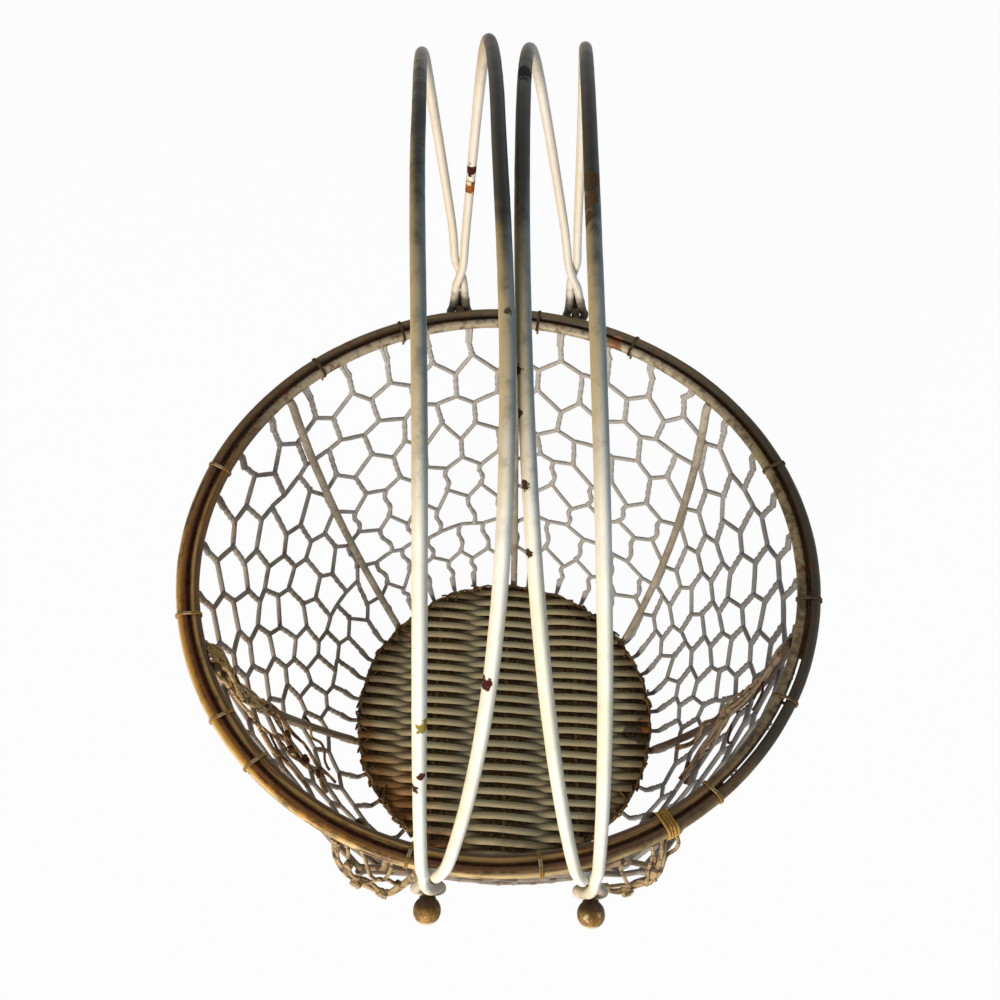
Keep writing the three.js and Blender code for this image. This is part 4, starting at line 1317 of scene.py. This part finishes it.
def spread(handle, height, apex, split=SPLIT_HEIGHT):
    """Distance of a wire from the middle of its handle; behind, the pair parts higher up."""
    share = max((height - split) / (apex - split), 0)
    return PAIR_HALF + (handle["apex_half_spread"] - PAIR_HALF) * math.sin(share * math.pi / 2)


def warp(handle, point, apex):
    """A bent handle's wires lean inward by this in front, and outward at the back."""
    share = max(point.z - EYE_RADIUS, 0) / (apex - EYE_RADIUS)
    t = math.asin(min(share, 1) ** (HANDLE_SQUARENESS / 2))
    amount = handle["front_warp"] if point.y < 0 else -handle["back_warp"]
    return -handle["side"] * amount * math.sin(2 * t)


def wire_end(side, outward, height, length):
    """One end of a wire, from its tip round the pin and up through the neck, seen in front."""
    points = []
    tip = math.pi - SEAT / EYE_RADIUS
    for turn in EYE_TURNS:
        x = -side * EYE_RADIUS * math.sin(tip * turn)
        points.append(Vector((x, -EYE_PLANE, EYE_RADIUS * math.cos(tip * turn))))
    if height > NECK_HEIGHT:
        points.append(Vector((-side * (PAIR_HALF + BACK_PINCH), -EYE_PLANE, BACK_PINCH_HEIGHT)))
    for share in NECK_SHARES:
        angle = share * math.pi / 2
        y = -EYE_PLANE - outward * (PAIR_HALF + SEAT / 2) * math.cos(angle)
        points.append(Vector((side * PAIR_HALF * math.sin(angle), y, height + share * length / 2)))
    return points


def handle_leg(handle, side, apex, height, length, split):
    """One wire of a handle from its end up to the start of the arch, seen in front."""
    neck_top = height + length / 2
    points = wire_end(side, side * handle["side"], height, length)
    for i in range(1, LEG_STEPS):
        share = i / LEG_STEPS
        z = neck_top + (arch_height(ARCH_START, apex) - neck_top) * share
        bow = (arch_reach(ARCH_START) - EYE_PLANE) * math.sin(share * math.pi / 2)
        points.append(Vector((side * spread(handle, z, apex, split), -EYE_PLANE - bow, z)))
    return points


def handle_wire(handle, side):
    """Points of one wire in its handle's own frame, from the front stud to the back one."""
    apex = HANDLE_HEIGHT * handle["outer" if side == handle["side"] else "inner"]
    points = handle_leg(handle, side, apex, NECK_HEIGHT, NECK_LENGTH, SPLIT_HEIGHT)
    for i in range(ARCH_STEPS + 1):
        t = ARCH_START + (math.pi - 2 * ARCH_START) * i / ARCH_STEPS
        height = arch_height(t, apex)
        split = SPLIT_HEIGHT if i <= ARCH_STEPS / 2 else BACK_SPLIT_HEIGHT
        points.append(Vector((side * spread(handle, height, apex, split), -arch_reach(t), height)))
    back = handle_leg(handle, side, apex, BACK_NECK_HEIGHT, BACK_NECK_LENGTH, BACK_SPLIT_HEIGHT)
    points.extend(Vector((point.x, -point.y, point.z)) for point in reversed(back))
    for point in points:
        point.x += warp(handle, point, apex)
    return points


ENAMEL = worn_enamel()
for name, handle in HANDLES.items():
    x = STUD_OFFSET + handle["side"] * STUD_SPACING / 2
    lean = Matrix.Rotation(-handle["side"] * math.radians(handle["lean"]), 4, "Y")
    place = Matrix.Translation((x, 0, PIN_HEIGHT)) @ lean
    for wire, side in (("outer", handle["side"]), ("inner", -handle["side"])):
        bent = WirePaths()
        bent.add(smooth_path([place @ point for point in handle_wire(handle, side)], 6))
        piece = bend_wire(f"{name}_handle_{wire}_bent_wire", bent, ENAMEL, HANDLE_WIRE,
                          sides=18, lumps=0.00005, lump_size=0.003, seed=side * 2.5)
        mark_facing(piece.data)
        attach(piece, f"{name}_handle")
        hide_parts(f"{name}_handle_{wire}_wire")

# Studio
# A plain white floor, soft light from low in front and a little from the left, and the camera
# where the photographer stood, in front of the basket and well above it.

CAMERA_ELEVATION = math.radians(57.73)
CAMERA_ROLL = math.radians(1.34)
CAMERA_PLACE = Vector((-0.00022, -0.24406, 0.66464))
CAMERA_LENS = 37.08
SENSOR_WIDTH = 36


def seen_as_white(nodes, share):
    """This share for the camera and for what gloss and glass show of the studio, else 0."""
    path = nodes.add("ShaderNodeLightPath").socket.node
    camera, gloss, glass = (Link(nodes, path.outputs[f"Is {kind} Ray"])
                            for kind in ("Camera", "Glossy", "Transmission"))
    return nodes.maths("MULTIPLY", camera + gloss + glass, share, clamp=True)


floor = Finish("white_floor")
matt = floor.add("ShaderNodeBsdfDiffuse", {"Color": colour("f4f4f4")})
bright = floor.add("ShaderNodeEmission", {"Color": (1, 1, 1, 1), "Strength": 1})
cover = floor.add("ShaderNodeMixShader", {0: seen_as_white(floor, 0.96), 1: matt, 2: bright})
floor.add("ShaderNodeOutputMaterial", {"Surface": cover})
bpy.ops.mesh.primitive_plane_add(size=8, location=(0, 0, -0.0002))
ground = bpy.context.object
ground.name = "studio_floor"
ground.data.materials.append(floor.material)

world = bpy.data.worlds.new("studio_light")
scene.world = world
world.use_nodes = True
world.node_tree.nodes.clear()
sky = Nodes(world.node_tree)
soft = sky.add("ShaderNodeBackground", {"Color": (0.80, 0.90, 1, 1), "Strength": 0.24})
plain = sky.add("ShaderNodeBackground", {"Color": (1, 1, 1, 1), "Strength": 1})
cover = sky.add("ShaderNodeMixShader", {0: seen_as_white(sky, 1), 1: soft, 2: plain})
sky.add("ShaderNodeOutputWorld", {"Surface": cover})


def lamp(name, place, aim, size, power, tint):
    """A round soft light at a place, aimed at a point."""
    light = bpy.data.lights.new(name, "AREA")
    light.shape = "DISK"
    light.size = size
    light.energy = power
    light.color = tint
    holder = bpy.data.objects.new(name, light)
    scene.collection.objects.link(holder)
    holder.location = place
    holder.rotation_euler = (Vector(aim) - Vector(place)).to_track_quat("-Z", "Y").to_euler()
    return holder


key = lamp("key_light", (-0.8, -1.55, 0.50), (0, 0, 0.25), 0.8, 36, (1.0, 0.95, 0.87))
fill = lamp("fill_light", (1.5, 0.2, 1.0), (0, 0, 0.2), 1.2, 5, (0.86, 0.93, 1.0))

right = Vector((1, 0, 0))
up = Vector((0, math.sin(CAMERA_ELEVATION), math.cos(CAMERA_ELEVATION)))
across = right * math.cos(CAMERA_ROLL) + up * math.sin(CAMERA_ROLL)
upward = up * math.cos(CAMERA_ROLL) - right * math.sin(CAMERA_ROLL)
turn = Matrix((across, upward, across.cross(upward))).transposed().to_4x4()
lens = bpy.data.cameras.new("photographer")
lens.lens = CAMERA_LENS
lens.sensor_width = SENSOR_WIDTH
camera = bpy.data.objects.new("photographer", lens)
scene.collection.objects.link(camera)
camera.matrix_world = Matrix.Translation(CAMERA_PLACE) @ turn
scene.camera = camera
scene.view_settings.view_transform = "Standard"
